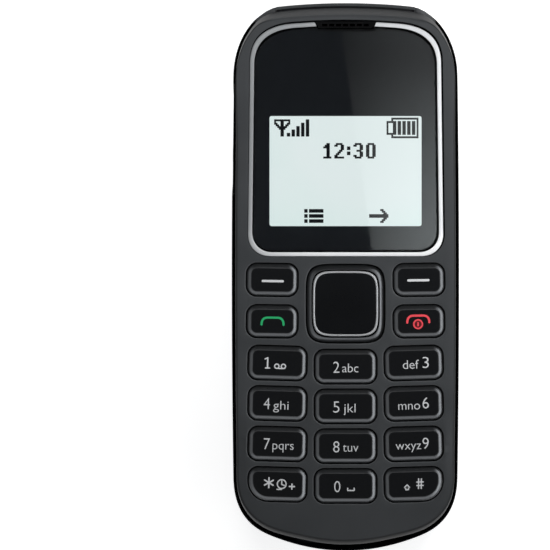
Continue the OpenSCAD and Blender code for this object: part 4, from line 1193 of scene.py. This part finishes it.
ring, top = Skin(), box_mm("nav_ring")[1][2]
outer, inner = NAV_RING_W, NAV_RING_W - 2 * NAV_RING_T
rings = ring.stack(nav_loop, [
    (outer, NAV_SEAT), (outer, top - 0.45), (outer - 0.12, top - 0.2), (outer - 0.18, top - 0.07),
    (outer - 0.36, top), (inner + 0.26, top), (inner + 0.08, top - 0.07), (inner, top - 0.2),
    (inner, NAV_SEAT)])
ring.join(*rings, rings[0])
piece("nav_ring_bright", ring, bright.material, "nav_key", ["nav_ring"], sharp=50)

plate, top = Skin(), box_mm("nav_plate")[1][2]
plate.closed(plate.stack(nav_loop, [(inner - 0.1, NAV_SEAT + 0.01), (inner - 0.1, top - 0.12),
                                    (inner - 0.16, top - 0.03), (inner - 0.36, top), (inner - 0.7, top)]))
piece("nav_plate_satin", plate, nav_black, "nav_key", ["nav_plate"], sharp=50)

# %% [markdown]
# ## Window
#
# The window is a clear lens in a bright trim. Behind the lens lies a black print with an opening for the
# display. The trim is a bar bent round the window that stops on both sides of the earpiece slot, so it is a
# strip of sections along the outline, closed at its two ends, and not a ring.

# %% Trim
top = box_mm("bezel_trim")[1][2]
TRIM_OUT, TRIM_IN, SLOT_GAP, TRIM_STEPS = 0.03, 0.84, 0.15, 150
TRIM_SECTION = [(TRIM_OUT, LENS_SEAT), (TRIM_OUT, top - 0.32), (TRIM_OUT + 0.03, top - 0.24),
                (TRIM_OUT + 0.10, top - 0.12), (TRIM_OUT + 0.34, top - 0.055), (TRIM_OUT + 0.52, top - 0.015),
                (TRIM_IN - 0.12, top), (TRIM_IN - 0.04, top - 0.03), (TRIM_IN, top - 0.12),
                (TRIM_IN, LENS_SEAT)]


def trim_line(by):
    """The line that a point of the section follows, from the slot's right side to its left."""
    right = window_to_slot(by, SLOT_GAP, TRIM_STEPS)
    return np.vstack([right[::-1], right[1:] * [-1, 1]])


trim = Skin()
lines = [trim_line(by) for by, z in TRIM_SECTION]
heights = [z for by, z in TRIM_SECTION]
trim.closed([trim.ring(station, heights) for station in zip(*lines)])
# Painted light and shade: the trim is darker towards the left, paler towards the right, and palest along its
# low side.
BRIGHT_FROM_LEFT, BRIGHT_LEAN, BRIGHT_LOW_SIDE = (-0.032, -0.006), 0.4, (0.006, 0.011)
silver = Finish("trim_silver", {"Metallic": 0.15, "IOR": 1.6})
flakes = silver.noise(3000, 2)
across, away = (silver.along(axis, silver.object_place()) for axis in "XY")
bright_end = silver.steps(across - BRIGHT_LEAN * away, *BRIGHT_FROM_LEFT)
low_side = 1 - silver.steps(away, *BRIGHT_LOW_SIDE)
shaded_tone = silver.mix(flakes, tone(146, 149, 151), tone(156, 158, 160))
lit_tone = silver.mix(flakes, tone(215, 217, 219), tone(225, 226, 228))
lit_tone = silver.mix(low_side, lit_tone, silver.mix(flakes, tone(248, 249, 250), tone(252, 252, 253)))
silver.wear({"Base Color": silver.mix(bright_end, shaded_tone, lit_tone),
             "Roughness": 0.34 + 0.08 * flakes, "Normal": silver.bump(flakes, 0.06, 0.000002)})
piece("window_trim", trim, silver.material, "phone", ["bezel_trim"], sharp=50)

# %% Lens
LENS_TINT = (0.97, 0.985, 0.98, 1)
clear = Finish("window_clear", {"Base Color": LENS_TINT, "IOR": 1.49, "Transmission Weight": 1.0})
clear.wear({"Roughness": 0.012 * clear.noise(350, 2)})
LENS_IN = 0.82


def lens_loop(by):
    """The lens's outline with the notch for the earpiece slot."""
    gap = SLOT_GAP + by
    half = window_to_slot(LENS_IN + by, gap, TRIM_STEPS)
    low = SLOT_LOW - gap
    notch = [[slot_half_width(y, gap), y] for y in np.linspace(half[-1][1], low, 6)[1:]]
    across = [[x, low] for x in np.linspace(notch[-1][0], 0, 10)[1:]]
    return both_sides(np.vstack([half, notch, across]))


lens = Skin()
bottom, top = (corner[2] for corner in box_mm("window_lens"))
lens.closed(lens.stack(lens_loop, [(0.03, bottom + 0.02), (0.03, top - 0.03), (0.04, top - 0.01), (0.06, top),
                                   (0.5, top)]), filled=True)
piece("window_glass", lens, clear.material, "phone", ["window_lens"], sharp=60)

# %% [markdown]
# ## Prints on the keys
#
# Numbers, letters and signs are printed on the flat tops. A print has almost no thickness, so each is a
# very thin solid that ends at the key's real height. Letters come from a text object that is turned into a
# mesh and stretched to its box. Signs are strokes: a path with a width and round ends. Places are in
# millimetres from the middle of the key, and lean with it.

# %% Print tools
def letters(text):
    """A line of text as points and faces, with its baseline at 0."""
    line = bpy.data.curves.new("print_line", "FONT")
    line.body = text
    line.size = 1.0
    line.extrude = 0.5
    line.offset = -0.008
    line.resolution_u = 5
    mesh = frozen(in_scene("print_line", line))
    points = np.array([tuple(v.co) for v in mesh.vertices])
    faces = [tuple(face.vertices) for face in mesh.polygons]
    bpy.data.curves.remove(line)
    bpy.data.meshes.remove(mesh)
    return points, faces


HIGH_LETTER = np.ptp(letters("h")[0][:, 1])


def on_key(name, points):
    key = KEYS[name]
    return turned(np.array(points, float), key["tilt"], key["place"])


def print_text(skin, name, text, left, right, base, tall, number=False):
    """Adds text between two places on a key. tall is the height of a number, or of an h."""
    points, faces = letters(text)
    span = np.ptp(points[:, 1]) if number else HIGH_LETTER
    lift = points[:, 1].min() if number else 0.0
    wide = (right - left) / np.ptp(points[:, 0])
    flat = np.c_[left + (points[:, 0] - points[:, 0].min()) * wide,
                 base + (points[:, 1] - lift) * tall / span]
    first = len(skin.points)
    heights = np.where(points[:, 2] > 0, key_high[name] + PRINT, key_high[name] - PRINT_ROOT)
    skin.ring(on_key(name, flat), heights)
    skin.faces += [tuple(first + k for k in face) for face in faces]


def print_shape(skin, name, loop, under=0.0):
    """Adds a flat closed shape with a little thickness. One that crosses another lies a hair under it."""
    placed = on_key(name, loop)
    heights = (key_high[name] - PRINT_ROOT, key_high[name] + PRINT - under)
    skin.closed([skin.ring(placed, z) for z in heights], filled=True)


def stroke(path, width):
    """The outline of a path drawn with a round pen."""
    path = np.array(path, float)
    along = np.gradient(path, axis=0)
    along /= np.hypot(*along.T)[:, None]
    side = np.c_[along[:, 1], -along[:, 0]] * width / 2

    def round_end(centre, start):
        return [turned(start, a, centre) for a in np.linspace(0, 180, 9)[1:-1]]

    return np.vstack([path + side, round_end(path[-1], side[-1]), (path - side)[::-1],
                      round_end(path[0], -side[0])])


def print_ring(skin, name, path, width):
    """Adds a closed stroke."""
    outer, inner = on_key(name, grown(path, width / 2)), on_key(name, grown(path, -width / 2))
    low = [skin.ring(loop, key_high[name] - PRINT_ROOT) for loop in (outer, inner)]
    high = [skin.ring(loop, key_high[name] + PRINT) for loop in (outer, inner)]
    skin.join(low[0], high[0])
    skin.join(low[1], high[1])
    skin.fill(low[0], [low[1]])
    skin.fill(high[0], [high[1]])


def pen_line(*corners, n=10):
    """A straight or bent line with points between its corners."""
    corners = np.array(corners, float)
    parts = [a + (b - a) * (np.arange(n) / n)[:, None] for a, b in zip(corners, corners[1:])]
    return np.vstack(parts + [corners[-1:]])


def ink(name, colour, pale):
    return grained(name, {"IOR": 1.45}, (colour, pale), (4200, 2), (0.5, 0.15), (0.15, 0.000003))


white_ink = ink("white_ink", tone(198, 200, 202), tone(216, 217, 218))
green_ink = ink("green_ink", tone(34, 160, 98), tone(48, 178, 112))
red_ink = ink("red_ink", tone(228, 66, 76), tone(238, 86, 94))
dim_red_ink = ink("dim_red_ink", tone(84, 18, 24), tone(98, 24, 30))
print("height of a letter h:", round(float(HIGH_LETTER), 3))

# %% Numbers and letters
NUMBER_W, NUMBER_TALL, LETTER_TALL = 1.21, 2.18, 1.67
NUMBER_BASE, LETTER_BASE = [-1.13, -1.21, -1.03], [-1.10, -1.17, -1.06]
NUMBER_LEFT, ZERO_LEFT = [-2.68, -2.41, 1.74], -2.22
LETTER_SPANS = {"2": ("abc", -0.66, 2.50), "3": ("def", -2.12, 1.01), "4": ("ghi", -0.81, 2.19),
                "5": ("jkl", -0.38, 1.95), "6": ("mno", -3.02, 1.23), "7": ("pqrs", -0.96, 3.18),
                "8": ("tuv", -0.55, 2.50), "9": ("wxyz", -3.53, 1.47)}
prints = {name: Skin() for name in KEYS}
for k, number in enumerate(DIAL_NAMES):
    name, row, column = "key_" + number, k // 3, k % 3
    if number.isdigit() and number != "1":
        left = ZERO_LEFT if number == "0" else NUMBER_LEFT[column]
        base = NUMBER_BASE[column]
        print_text(prints[name], name, number, left, left + NUMBER_W, base, NUMBER_TALL, number=True)
    if number in LETTER_SPANS:
        text, left, right = LETTER_SPANS[number]
        print_text(prints[name], name, text, left, right, LETTER_BASE[row], LETTER_TALL)
print("letter groups:", len(LETTER_SPANS))

# %% Signs
FINE, BOLD, DASH, DASH_HALF = 0.24, 0.29, 0.45, 1.95
UNDER = 0.002


def pen(name, width, *corners, under=0.0):
    """Draws a line through some places on a key, in white."""
    print_shape(prints[name], name, stroke(pen_line(*corners), width), under)


ONE_FLAG, ONE_TOP, ONE_FOOT, ONE_FOOT_HALF = (-2.44, 0.74), (-1.92, 0.98), (-1.92, -1.02), 0.42
pen("key_1", BOLD, ONE_TOP, ONE_FOOT)
pen("key_1", FINE, ONE_FLAG, ONE_TOP, under=UNDER)
pen("key_1", FINE, *((ONE_FOOT[0] + s * ONE_FOOT_HALF, ONE_FOOT[1]) for s in (-1, 1)), under=1.5 * UNDER)
REELS, REEL_Y, REEL_R = (-0.11, 1.18), -0.62, 0.42
for x in REELS:
    print_ring(prints["key_1"], "key_1", circle(x, REEL_Y, REEL_R), FINE)
pen("key_1", FINE, *((x, REEL_Y - REEL_R) for x in REELS), under=UNDER)

STAR_HUB, STAR_ARM = np.array([-1.68, 0.29]), 0.97
for k, a in enumerate((90, 30, -30)):
    arm = STAR_ARM * np.array([cosine(a), sine(a)])
    pen("key_star", BOLD, STAR_HUB - arm, STAR_HUB + arm, under=k * UNDER / 2)
CLOCK, CLOCK_R = np.array([0.83, 0.09]), 0.86
CLOCK_HANDS, CLOCK_BASE = [(0, 0.6), (0, -0.06), (0.5, -0.26)], [(-0.9, -1.04), (0, -1.04)]
print_ring(prints["key_star"], "key_star", circle(*CLOCK, CLOCK_R), FINE)
pen("key_star", FINE, *(CLOCK + CLOCK_HANDS))
pen("key_star", FINE, *(CLOCK + CLOCK_BASE), under=UNDER)
PLUS, PLUS_ARM = np.array([2.83, -0.34]), 0.48
pen("key_star", BOLD, PLUS + [-PLUS_ARM, 0], PLUS + [PLUS_ARM, 0])
pen("key_star", BOLD, PLUS + [0, PLUS_ARM], PLUS + [0, -PLUS_ARM], under=UNDER)

SPACE_LEFT, SPACE_RIGHT, SPACE_LOW, SPACE_HIGH = 0.41, 1.68, -0.88, -0.44
pen("key_0", FINE, (SPACE_LEFT, SPACE_HIGH), (SPACE_LEFT, SPACE_LOW), (SPACE_RIGHT, SPACE_LOW),
    (SPACE_RIGHT, SPACE_HIGH))

HASH_LEFT, HASH_RIGHT, HASH_LOW, HASH_HIGH, HASH_LEAN = 0.62, 1.86, -0.82, 1.06, 0.08
HASH_XS, HASH_YS = (1.00, 1.54), (0.44, -0.24)
for x in HASH_XS:
    pen("key_hash", FINE, (x, HASH_HIGH), (x - HASH_LEAN, HASH_LOW))
for y in HASH_YS:
    pen("key_hash", FINE, (HASH_LEFT, y), (HASH_RIGHT, y), under=UNDER)
SHIFT_SIGN = [(-1.58, -1.00), (-1.03, -1.00), (-1.03, -0.62), (-0.78, -0.62), (-1.30, -0.03), (-1.83, -0.62),
              (-1.58, -0.62)]
print_ring(prints["key_hash"], "key_hash", pen_line(*SHIFT_SIGN, SHIFT_SIGN[0], n=4)[:-1], FINE)

DASH_PLACES = {"soft_key_left": (0.11, -0.24), "soft_key_right": (-0.11, -0.08)}
for name, (x, y) in DASH_PLACES.items():
    pen(name, DASH, (x - DASH_HALF, y), (x + DASH_HALF, y))

for name, skin in prints.items():
    if skin.points:
        piece(name + "_print", skin, white_ink, name, sharp=30)

# %% Call and end signs
def handset(x, y, width, drop):
    """A receiver seen from the side: a flat arch with its ends turned down."""
    half = cubic((-width / 2, -drop), (-width / 2, -0.5 * drop), (-0.44 * width, 0), (-0.22 * width, 0), 18)
    over = np.vstack([half, [[-0.2 * width, 0], [0, 0], [0.2 * width, 0]], half[::-1] * [-1, 1]])
    return over + [x, y]


call_sign, end_sign, power_disc = Skin(), Skin(), Skin()
HANDSET_W, HANDSET_PEN, POWER_X, POWER_Y = 4.3, 0.42, -0.17, -0.55
CALL_PLACE, CALL_DROP, END_PLACE, END_DROP = (0.07, 0.72), 1.36, (POWER_X + 0.05, 1.12), 1.34
POWER_R, DISC_R, DISC_UNDER = 0.84, 0.73, 0.006
print_shape(call_sign, "call_key", stroke(handset(*CALL_PLACE, HANDSET_W, CALL_DROP), HANDSET_PEN))
piece("call_sign", call_sign, green_ink, "call_key", sharp=30)
print_shape(end_sign, "end_key", stroke(handset(*END_PLACE, HANDSET_W, END_DROP), HANDSET_PEN))
print_ring(end_sign, "end_key", circle(POWER_X, POWER_Y, POWER_R), BOLD)
power_bar = pen_line((POWER_X, POWER_Y + BOLD), (POWER_X, POWER_Y - BOLD))
print_shape(end_sign, "end_key", stroke(power_bar, BOLD))
piece("end_sign", end_sign, red_ink, "end_key", sharp=30)
print_shape(power_disc, "end_key", circle(POWER_X, POWER_Y, DISC_R), under=DISC_UNDER)
piece("power_disc", power_disc, dim_red_ink, "end_key", sharp=30)

# %% [markdown]
# ## Display
#
# The display is a pale lit panel behind the window, with 96 by 65 dots that turn black. What it shows is
# generic: signal strength, battery, the time, and a sign above each soft key. The dots repeat, so Geometry
# Nodes set one small block on each point of a mesh that holds only the dark places.

# %% Dots as points
view_y = sum(corner[1] for corner in box_mm("light_guide")) / 2
VIEW_W, VIEW_H, COLUMNS, ROWS = 29.7, 21.5, 96, 65
DOT_W, DOT_H = VIEW_W / COLUMNS, VIEW_H / ROWS
ANTENNA = ["##########", "#   ##   #", "##  ##  ##", " ## ## ## ", "  ######  ", "   ####   "]
ANTENNA += ["    ##    "] * 4
DIGITS = {"1": ["  ## ", " ### ", "#### ", "  ## ", "  ## ", "  ## ", "  ## ", "  ## ", "#####"],
          "2": [" #### ", "##  ##", "    ##", "    ##", "   ## ", "  ##  ", " ##   ", "##    ", "######"],
          "3": [" #### ", "##  ##", "    ##", "    ##", "  ### ", "    ##", "    ##", "##  ##", " #### "],
          "0": [" #### ", "##  ##", "##  ##", "##  ##", "##  ##", "##  ##", "##  ##", "##  ##", " #### "],
          ":": ["  ", "  ", "##", "##", "  ", "##", "##", "  ", "  "]}
LIST_SIGN = (["## #########"] * 2 + ["            "]) * 2 + ["## #########"] * 2
ARROW_SIGN = ["       ##   ", "        ##  ", "         ## ", "############", "############", "         ## ",
              "        ##  ", "       ##   "]
dots = []


def draw(rows, column, row):
    """Adds a sign's dark dots, with its upper left corner at a column and row."""
    for down, line in enumerate(rows):
        dots.extend((column + right, row + down) for right, mark in enumerate(line) if mark == "#")
    return column + max(len(line) for line in rows) + 2


def bar(column, row, wide, tall):
    draw(["#" * wide] * tall, column, row)


draw(ANTENNA, 3, 2)
for k, tall in enumerate((2, 4, 6, 8, 10)):
    bar(11 + 3 * k, 12 - tall, 2, tall)
BATTERY = [(77, 1, 17, 1), (77, 12, 17, 1), (93, 2, 1, 10), (77, 2, 1, 2), (77, 10, 1, 2), (74, 3, 3, 1),
           (74, 10, 3, 1), (74, 4, 1, 6)]
for box in BATTERY:
    bar(*box)
for k in range(5):
    bar(78 + 3 * k, 3, 2, 8)
column = 34
for sign in "12:30":
    column = draw(DIGITS[sign], column, 16)
draw(LIST_SIGN, 22, 55)
draw(ARROW_SIGN, 63, 55)
dots = sorted(set(dots))
print("dark dots:", len(dots))


# %% Dots by Geometry Nodes
class Grower(Nodes):
    """A Geometry Nodes tree that sets a shape on points. Its measures are named inputs, in metres."""

    def __init__(self, name, measures):
        super().__init__(bpy.data.node_groups.new(name, "GeometryNodeTree"))
        self.name, self.measures = name, measures
        self.tree.interface.new_socket("Geometry", in_out="INPUT", socket_type="NodeSocketGeometry")
        for label in measures:
            self.tree.interface.new_socket(label, in_out="INPUT", socket_type="NodeSocketFloat")
        self.tree.interface.new_socket("Geometry", in_out="OUTPUT", socket_type="NodeSocketGeometry")
        self.into = self.tree.nodes.new("NodeGroupInput")

    def given(self, label):
        return Value(self, self.into.outputs[label])

    def vector(self, x=0.0, y=0.0, z=0.0):
        return self.node("ShaderNodeCombineXYZ", {}, {"X": x, "Y": y, "Z": z})

    def block(self, x, y, z):
        return self.node("GeometryNodeMeshCube", {}, {"Size": self.vector(x, y, z)}, "Mesh")

    def round_bar(self, count, radius, length):
        sockets = {"Vertices": count, "Radius": radius, "Depth": length}
        return self.node("GeometryNodeMeshCylinder", {}, sockets, "Mesh")

    def raised(self, shape, height):
        sockets = {"Geometry": shape, "Translation": self.vector(z=height)}
        return self.node("GeometryNodeTransform", {}, sockets)

    def together(self, *shapes):
        made = self.node("GeometryNodeJoinGeometry", {}, {})
        for shape in shapes:
            self.feed(made.socket.node.inputs[0], shape)
        return made

    def mesh_on(self, points, shape, material):
        """A plain mesh with the shape on each point, given in mm."""
        sockets = {"Points": self.given("Geometry"), "Instance": shape}
        placed = self.node("GeometryNodeInstanceOnPoints", {}, sockets)
        real = self.node("GeometryNodeRealizeInstances", {}, {0: placed})
        painted = self.node("GeometryNodeSetMaterial", {}, {"Geometry": real, "Material": material})
        self.feed(self.tree.nodes.new("NodeGroupOutput").inputs[0], painted)
        seeds = bpy.data.meshes.new(self.name + "_points")
        seeds.from_pydata([tuple(c * MM for c in p) for p in points], [], [])
        carrier = in_scene(self.name + "_points", seeds)
        modifier = carrier.modifiers.new("nodes", "NODES")
        modifier.node_group = self.tree
        for item in self.tree.interface.items_tree:
            if item.name in self.measures:
                modifier[item.identifier] = self.measures[item.name]
        mesh = frozen(carrier)
        mesh.name = self.name
        return mesh


DOT_SPREAD, DOT_DEPTH, DOT_LIFT = 1.18, 0.01, 0.004
dot_black = ink("dot_black", tone(8, 9, 10), tone(14, 15, 16))
panel_top = box_mm("lcd_glass")[1][2]
dot_places = [((c + 0.5) * DOT_W - VIEW_W / 2, view_y + VIEW_H / 2 - (r + 0.5) * DOT_H, panel_top + DOT_LIFT)
              for c, r in dots]
DOT_SIZE = {"Dot width": DOT_SPREAD * DOT_W * MM, "Dot height": DOT_SPREAD * DOT_H * MM,
            "Dot depth": DOT_DEPTH * MM}
dot_tree = Grower("display_dots", DOT_SIZE)
dot = dot_tree.block(*(dot_tree.given(label) for label in DOT_SIZE))
settle("display_dots", dot_tree.mesh_on(dot_places, dot, dot_black), "phone")

# %% Panel, print behind the window, grille
lit = Finish("screen_glass", {"Base Color": tone(40, 44, 44), "Roughness": 0.2, "Emission Strength": 1.0})
uneven = lit.noise(38, 2)
lit.wear({"Emission Color": lit.mix(lit.steps(uneven, 0.3, 0.7), tone(222, 238, 236), tone(230, 240, 240))})
back_print = Finish("window_black", {"IOR": 1.5})
dust = back_print.noise(1500, 3)
back_print.wear({"Base Color": back_print.mix(dust, tone(25, 27, 31), tone(29, 31, 35)),
                 "Roughness": 0.35 + 0.1 * dust})


def finish_node(node, material):
    """Gives a solid that stays in view its finish."""
    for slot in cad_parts[node].material_slots:
        slot.link = "OBJECT"
        slot.material = material


finish_node("lcd_glass", lit.material)
finish_node("window_mask", back_print.material)
grille_black = moulded("grille_black", tone(5, 5, 6), tone(8, 8, 9), 0.34)
softened("earpiece_grille", "earpiece_grille_soft", grille_black, "phone", bevel=0.06)
print("display at", panel_top.round(2), "mm")

# %% [markdown]
# ## Torch, plug sign and the pieces inside
#
# The torch lens in the top cap is a turned shape: a shallow dome with fine rings, so a profile is swept
# round its axis. A small plug sign is raised on the pod beside the charging socket. The pieces inside get
# finishes of their own and, but for the battery and the screws, keep their solids: they show when the back
# cover comes off.

# %% Torch lens
torch_low, torch_high = box_mm("torch_lens")
TORCH_R, TORCH_OUT = (torch_high[0] - torch_low[0]) / 2, torch_high[1]
TORCH_RINGS, TORCH_RING_W, TORCH_RISE = 6, 0.2, 0.02
profile = [(TORCH_R, torch_low[1]), (TORCH_R, TORCH_OUT - 0.35), (TORCH_R - 0.12, TORCH_OUT - 0.2)]
for k in range(TORCH_RINGS):
    radius = (TORCH_R - TORCH_RING_W) * (1 - k / TORCH_RINGS)
    profile += [(radius, TORCH_OUT - 0.22 + TORCH_RISE * k),
                (radius - TORCH_RING_W, TORCH_OUT - 0.1 + TORCH_RISE * k)]
profile.append((0.05, TORCH_OUT))
torch = Skin()
torch.closed(torch.stack(lambda radius: circle(0, 0, radius, 48), profile))
TORCH_TINT = (0.95, 0.97, 0.98, 1)
torch_clear = Finish("torch_clear", {"Base Color": TORCH_TINT, "IOR": 1.5, "Transmission Weight": 1.0})
torch_clear.wear({"Roughness": 0.05 + 0.06 * torch_clear.noise(900, 2)})
piece("torch_lens_ringed", stood_up(torch), torch_clear.material, "phone", ["torch_lens"],
      sharp=25)

# %% Plug sign on the pod
SIGN_Y, SIGN_REACH, SIGN_PROUD, SIGN_ROOT = 23.1, 6, 0.03, 0.05
band_right = box_mm("middle_frame")[1][0]


def raise_on_pod(skin, path, width):
    """Lays a stroke, drawn with x up the pod and y along it, on the band's left side."""
    flat = stroke(path, width) + [0, SIGN_Y]
    side = both_sides(evenly(body_half(), 400))
    side = side[(side[:, 0] > 0) & (np.abs(side[:, 1] - SIGN_Y) < SIGN_REACH)]
    out_to = np.interp(flat[:, 1], side[:, 1], side[:, 0]) * band_right / HALF_W + POD_PROUD
    skin.closed([skin.ring(np.c_[-out_to - proud, flat[:, 1]], BAND_Z + flat[:, 0])
                 for proud in (-SIGN_ROOT, SIGN_PROUD)])


plug = Skin()
PLUG_PEN, PLUG_BAR, PLUG_R, PLUG_Y = 0.22, 0.24, 0.8, 0.55
PLUG_FACE, PLUG_CORD = [(-0.95, 0.5), (0.95, 0.5)], [(0.0, 1.45), (0.0, 2.0)]
PLUG_PINS, PIN_FROM, PIN_TO = (-0.45, 0.45), 0.3, -0.5
half_round = [(PLUG_R * cosine(a), PLUG_Y + PLUG_R * sine(a)) for a in np.linspace(0, 180, 21)]
raise_on_pod(plug, half_round, PLUG_PEN)
raise_on_pod(plug, pen_line(*PLUG_FACE), PLUG_BAR)
for x in PLUG_PINS:
    raise_on_pod(plug, pen_line((x, PIN_FROM), (x, PIN_TO)), PLUG_PEN)
raise_on_pod(plug, pen_line(*PLUG_CORD), PLUG_PEN)
sign_grey = ink("sign_grey", tone(120, 122, 124), tone(134, 136, 138))
piece("plug_sign", plug, sign_grey, "phone", sharp=40)

# %% Inner finishes
def plain_metal(name, dark, pale, rough, grain=(1.0, 8.0, 1.0)):
    return grained(name, {"Metallic": 1.0}, (dark, pale), (700, 3, grain), (rough, 0.18), (0.2, 0.000006))


def circuit_green():
    made = Finish("board_green", {"IOR": 1.5, "Coat Roughness": 0.2})
    tracks = made.node("ShaderNodeTexBrick", {"offset": 0.5}, {
        "Vector": made.object_place(), "Scale": 900.0, "Mortar Size": 0.06,
        "Color1": tone(20, 84, 46), "Color2": tone(24, 92, 52), "Mortar": tone(44, 126, 74)})
    wash = made.noise(300, 3)
    made.wear({"Base Color": made.mix(wash, tracks, tone(18, 76, 42)), "Roughness": 0.3 + 0.15 * wash,
               "Coat Weight": 0.2 + 0.2 * wash, "Normal": made.bump(wash, 0.1, 0.00001)})
    return made.material


tin = plain_metal("tin", tone(176, 178, 180), tone(198, 200, 202), 0.3)
gold = plain_metal("gold", tone(196, 158, 84), tone(220, 182, 104), 0.24)
steel = plain_metal("weight_steel", tone(140, 141, 144), tone(164, 165, 168), 0.28, (8.0, 1.0, 1.0))
screw_steel = plain_metal("screw_steel", tone(120, 121, 124), tone(150, 151, 154), 0.3, (1.0, 1.0, 1.0))
INNER = {
    tin: ["shield_cans", "microphone", "sim_holder"],
    gold: ["battery_contacts", "charge_pin", "antenna_foil"],
    steel: ["vibra_motor", "vibra_weight"],
    circuit_green(): ["main_board"],
    moulded("chip_black", tone(22, 22, 24), tone(28, 28, 30), 0.5): ["chips"],
    moulded("pad_rubber", tone(58, 59, 61), tone(66, 67, 69), 0.7): ["keymat", "nav_fulcrum"],
    moulded("seal_rubber", tone(20, 20, 21), tone(26, 26, 27), 0.75): ["microphone_boot"],
    moulded("guide_white", tone(214, 220, 218), tone(226, 232, 230), 0.35): ["lcd_frame", "light_guide"],
    moulded("card_white", tone(216, 216, 212), tone(228, 228, 224), 0.4): ["sim_card"],
    moulded("lamp_white", tone(228, 222, 186), tone(240, 234, 200), 0.3): ["torch_led", "key_leds"],
    moulded("film", tone(196, 198, 196), tone(208, 210, 208), 0.3): ["dome_sheet"],
    moulded("carrier_black", tone(30, 30, 32), tone(38, 38, 40), 0.45): [
        "contact_block", "earpiece_speaker", "loudspeaker", "charge_jack", "antenna_carrier"]}
for material, nodes in INNER.items():
    for node in nodes:
        finish_node(node, material)
cell_grey = grained("cell_grey", {"IOR": 1.47}, (tone(96, 98, 102), tone(110, 112, 116)),
                    (240, 3, (1.0, 3.0, 1.0)), (0.34, 0.16), (0.25, 0.00003))
softened("battery", "battery_wrapped", cell_grey, "phone", bevel=0.5)
print("inner finishes:", len(INNER))

# %% [markdown]
# ## Screws
#
# Four screws hold the covers together. They are alike, so one head with a cross in it and one shank are
# made by Geometry Nodes and set on four points.

# %% Screws
screw_low, screw_high = box_mm("screws")
HEAD_R, SHANK_R, HEAD_H, HEAD_SIDES, SHANK_SIDES = 1.3, 0.66, 0.9, 28, 14
ARM_LONG, ARM_THIN, ARM_SINK, SHANK_LIFT = 1.2, 0.28, -0.55, 0.498
HIGH_SCREW, LOW_SCREW = (HALF_W - 6.65, HALF_L - 7.95), (HALF_W - 12.75, 6.65 - HALF_L)
SCREW_SIZE = {"Head radius": HEAD_R * MM, "Shank radius": SHANK_R * MM, "Head height": HEAD_H * MM,
              "Length": (screw_high[2] - screw_low[2] - HEAD_H) * MM}
screws = Grower("screws_crossed", SCREW_SIZE)
radius, shank_radius, height, length = (screws.given(label) for label in SCREW_SIZE)
long_arm, thin_arm = radius * ARM_LONG, radius * ARM_THIN
cross = screws.together(screws.block(long_arm, thin_arm, height), screws.block(thin_arm, long_arm, height))
both = {"Mesh 1": screws.round_bar(HEAD_SIDES, radius, height),
        "Mesh 2": screws.raised(cross, height * ARM_SINK)}
head = screws.node("GeometryNodeMeshBoolean", {"operation": "DIFFERENCE"}, both, "Mesh")
shank = screws.raised(screws.round_bar(SHANK_SIDES, shank_radius, length), (height + length) * SHANK_LIFT)
screw_places = [(s * x, y, screw_low[2] + HEAD_H / 2) for s in (-1, 1) for x, y in (HIGH_SCREW, LOW_SCREW)]
screw_mesh = screws.mesh_on(screw_places, screws.together(head, shank), screw_steel)
settle("screws_crossed", screw_mesh, "phone", ["screws"])
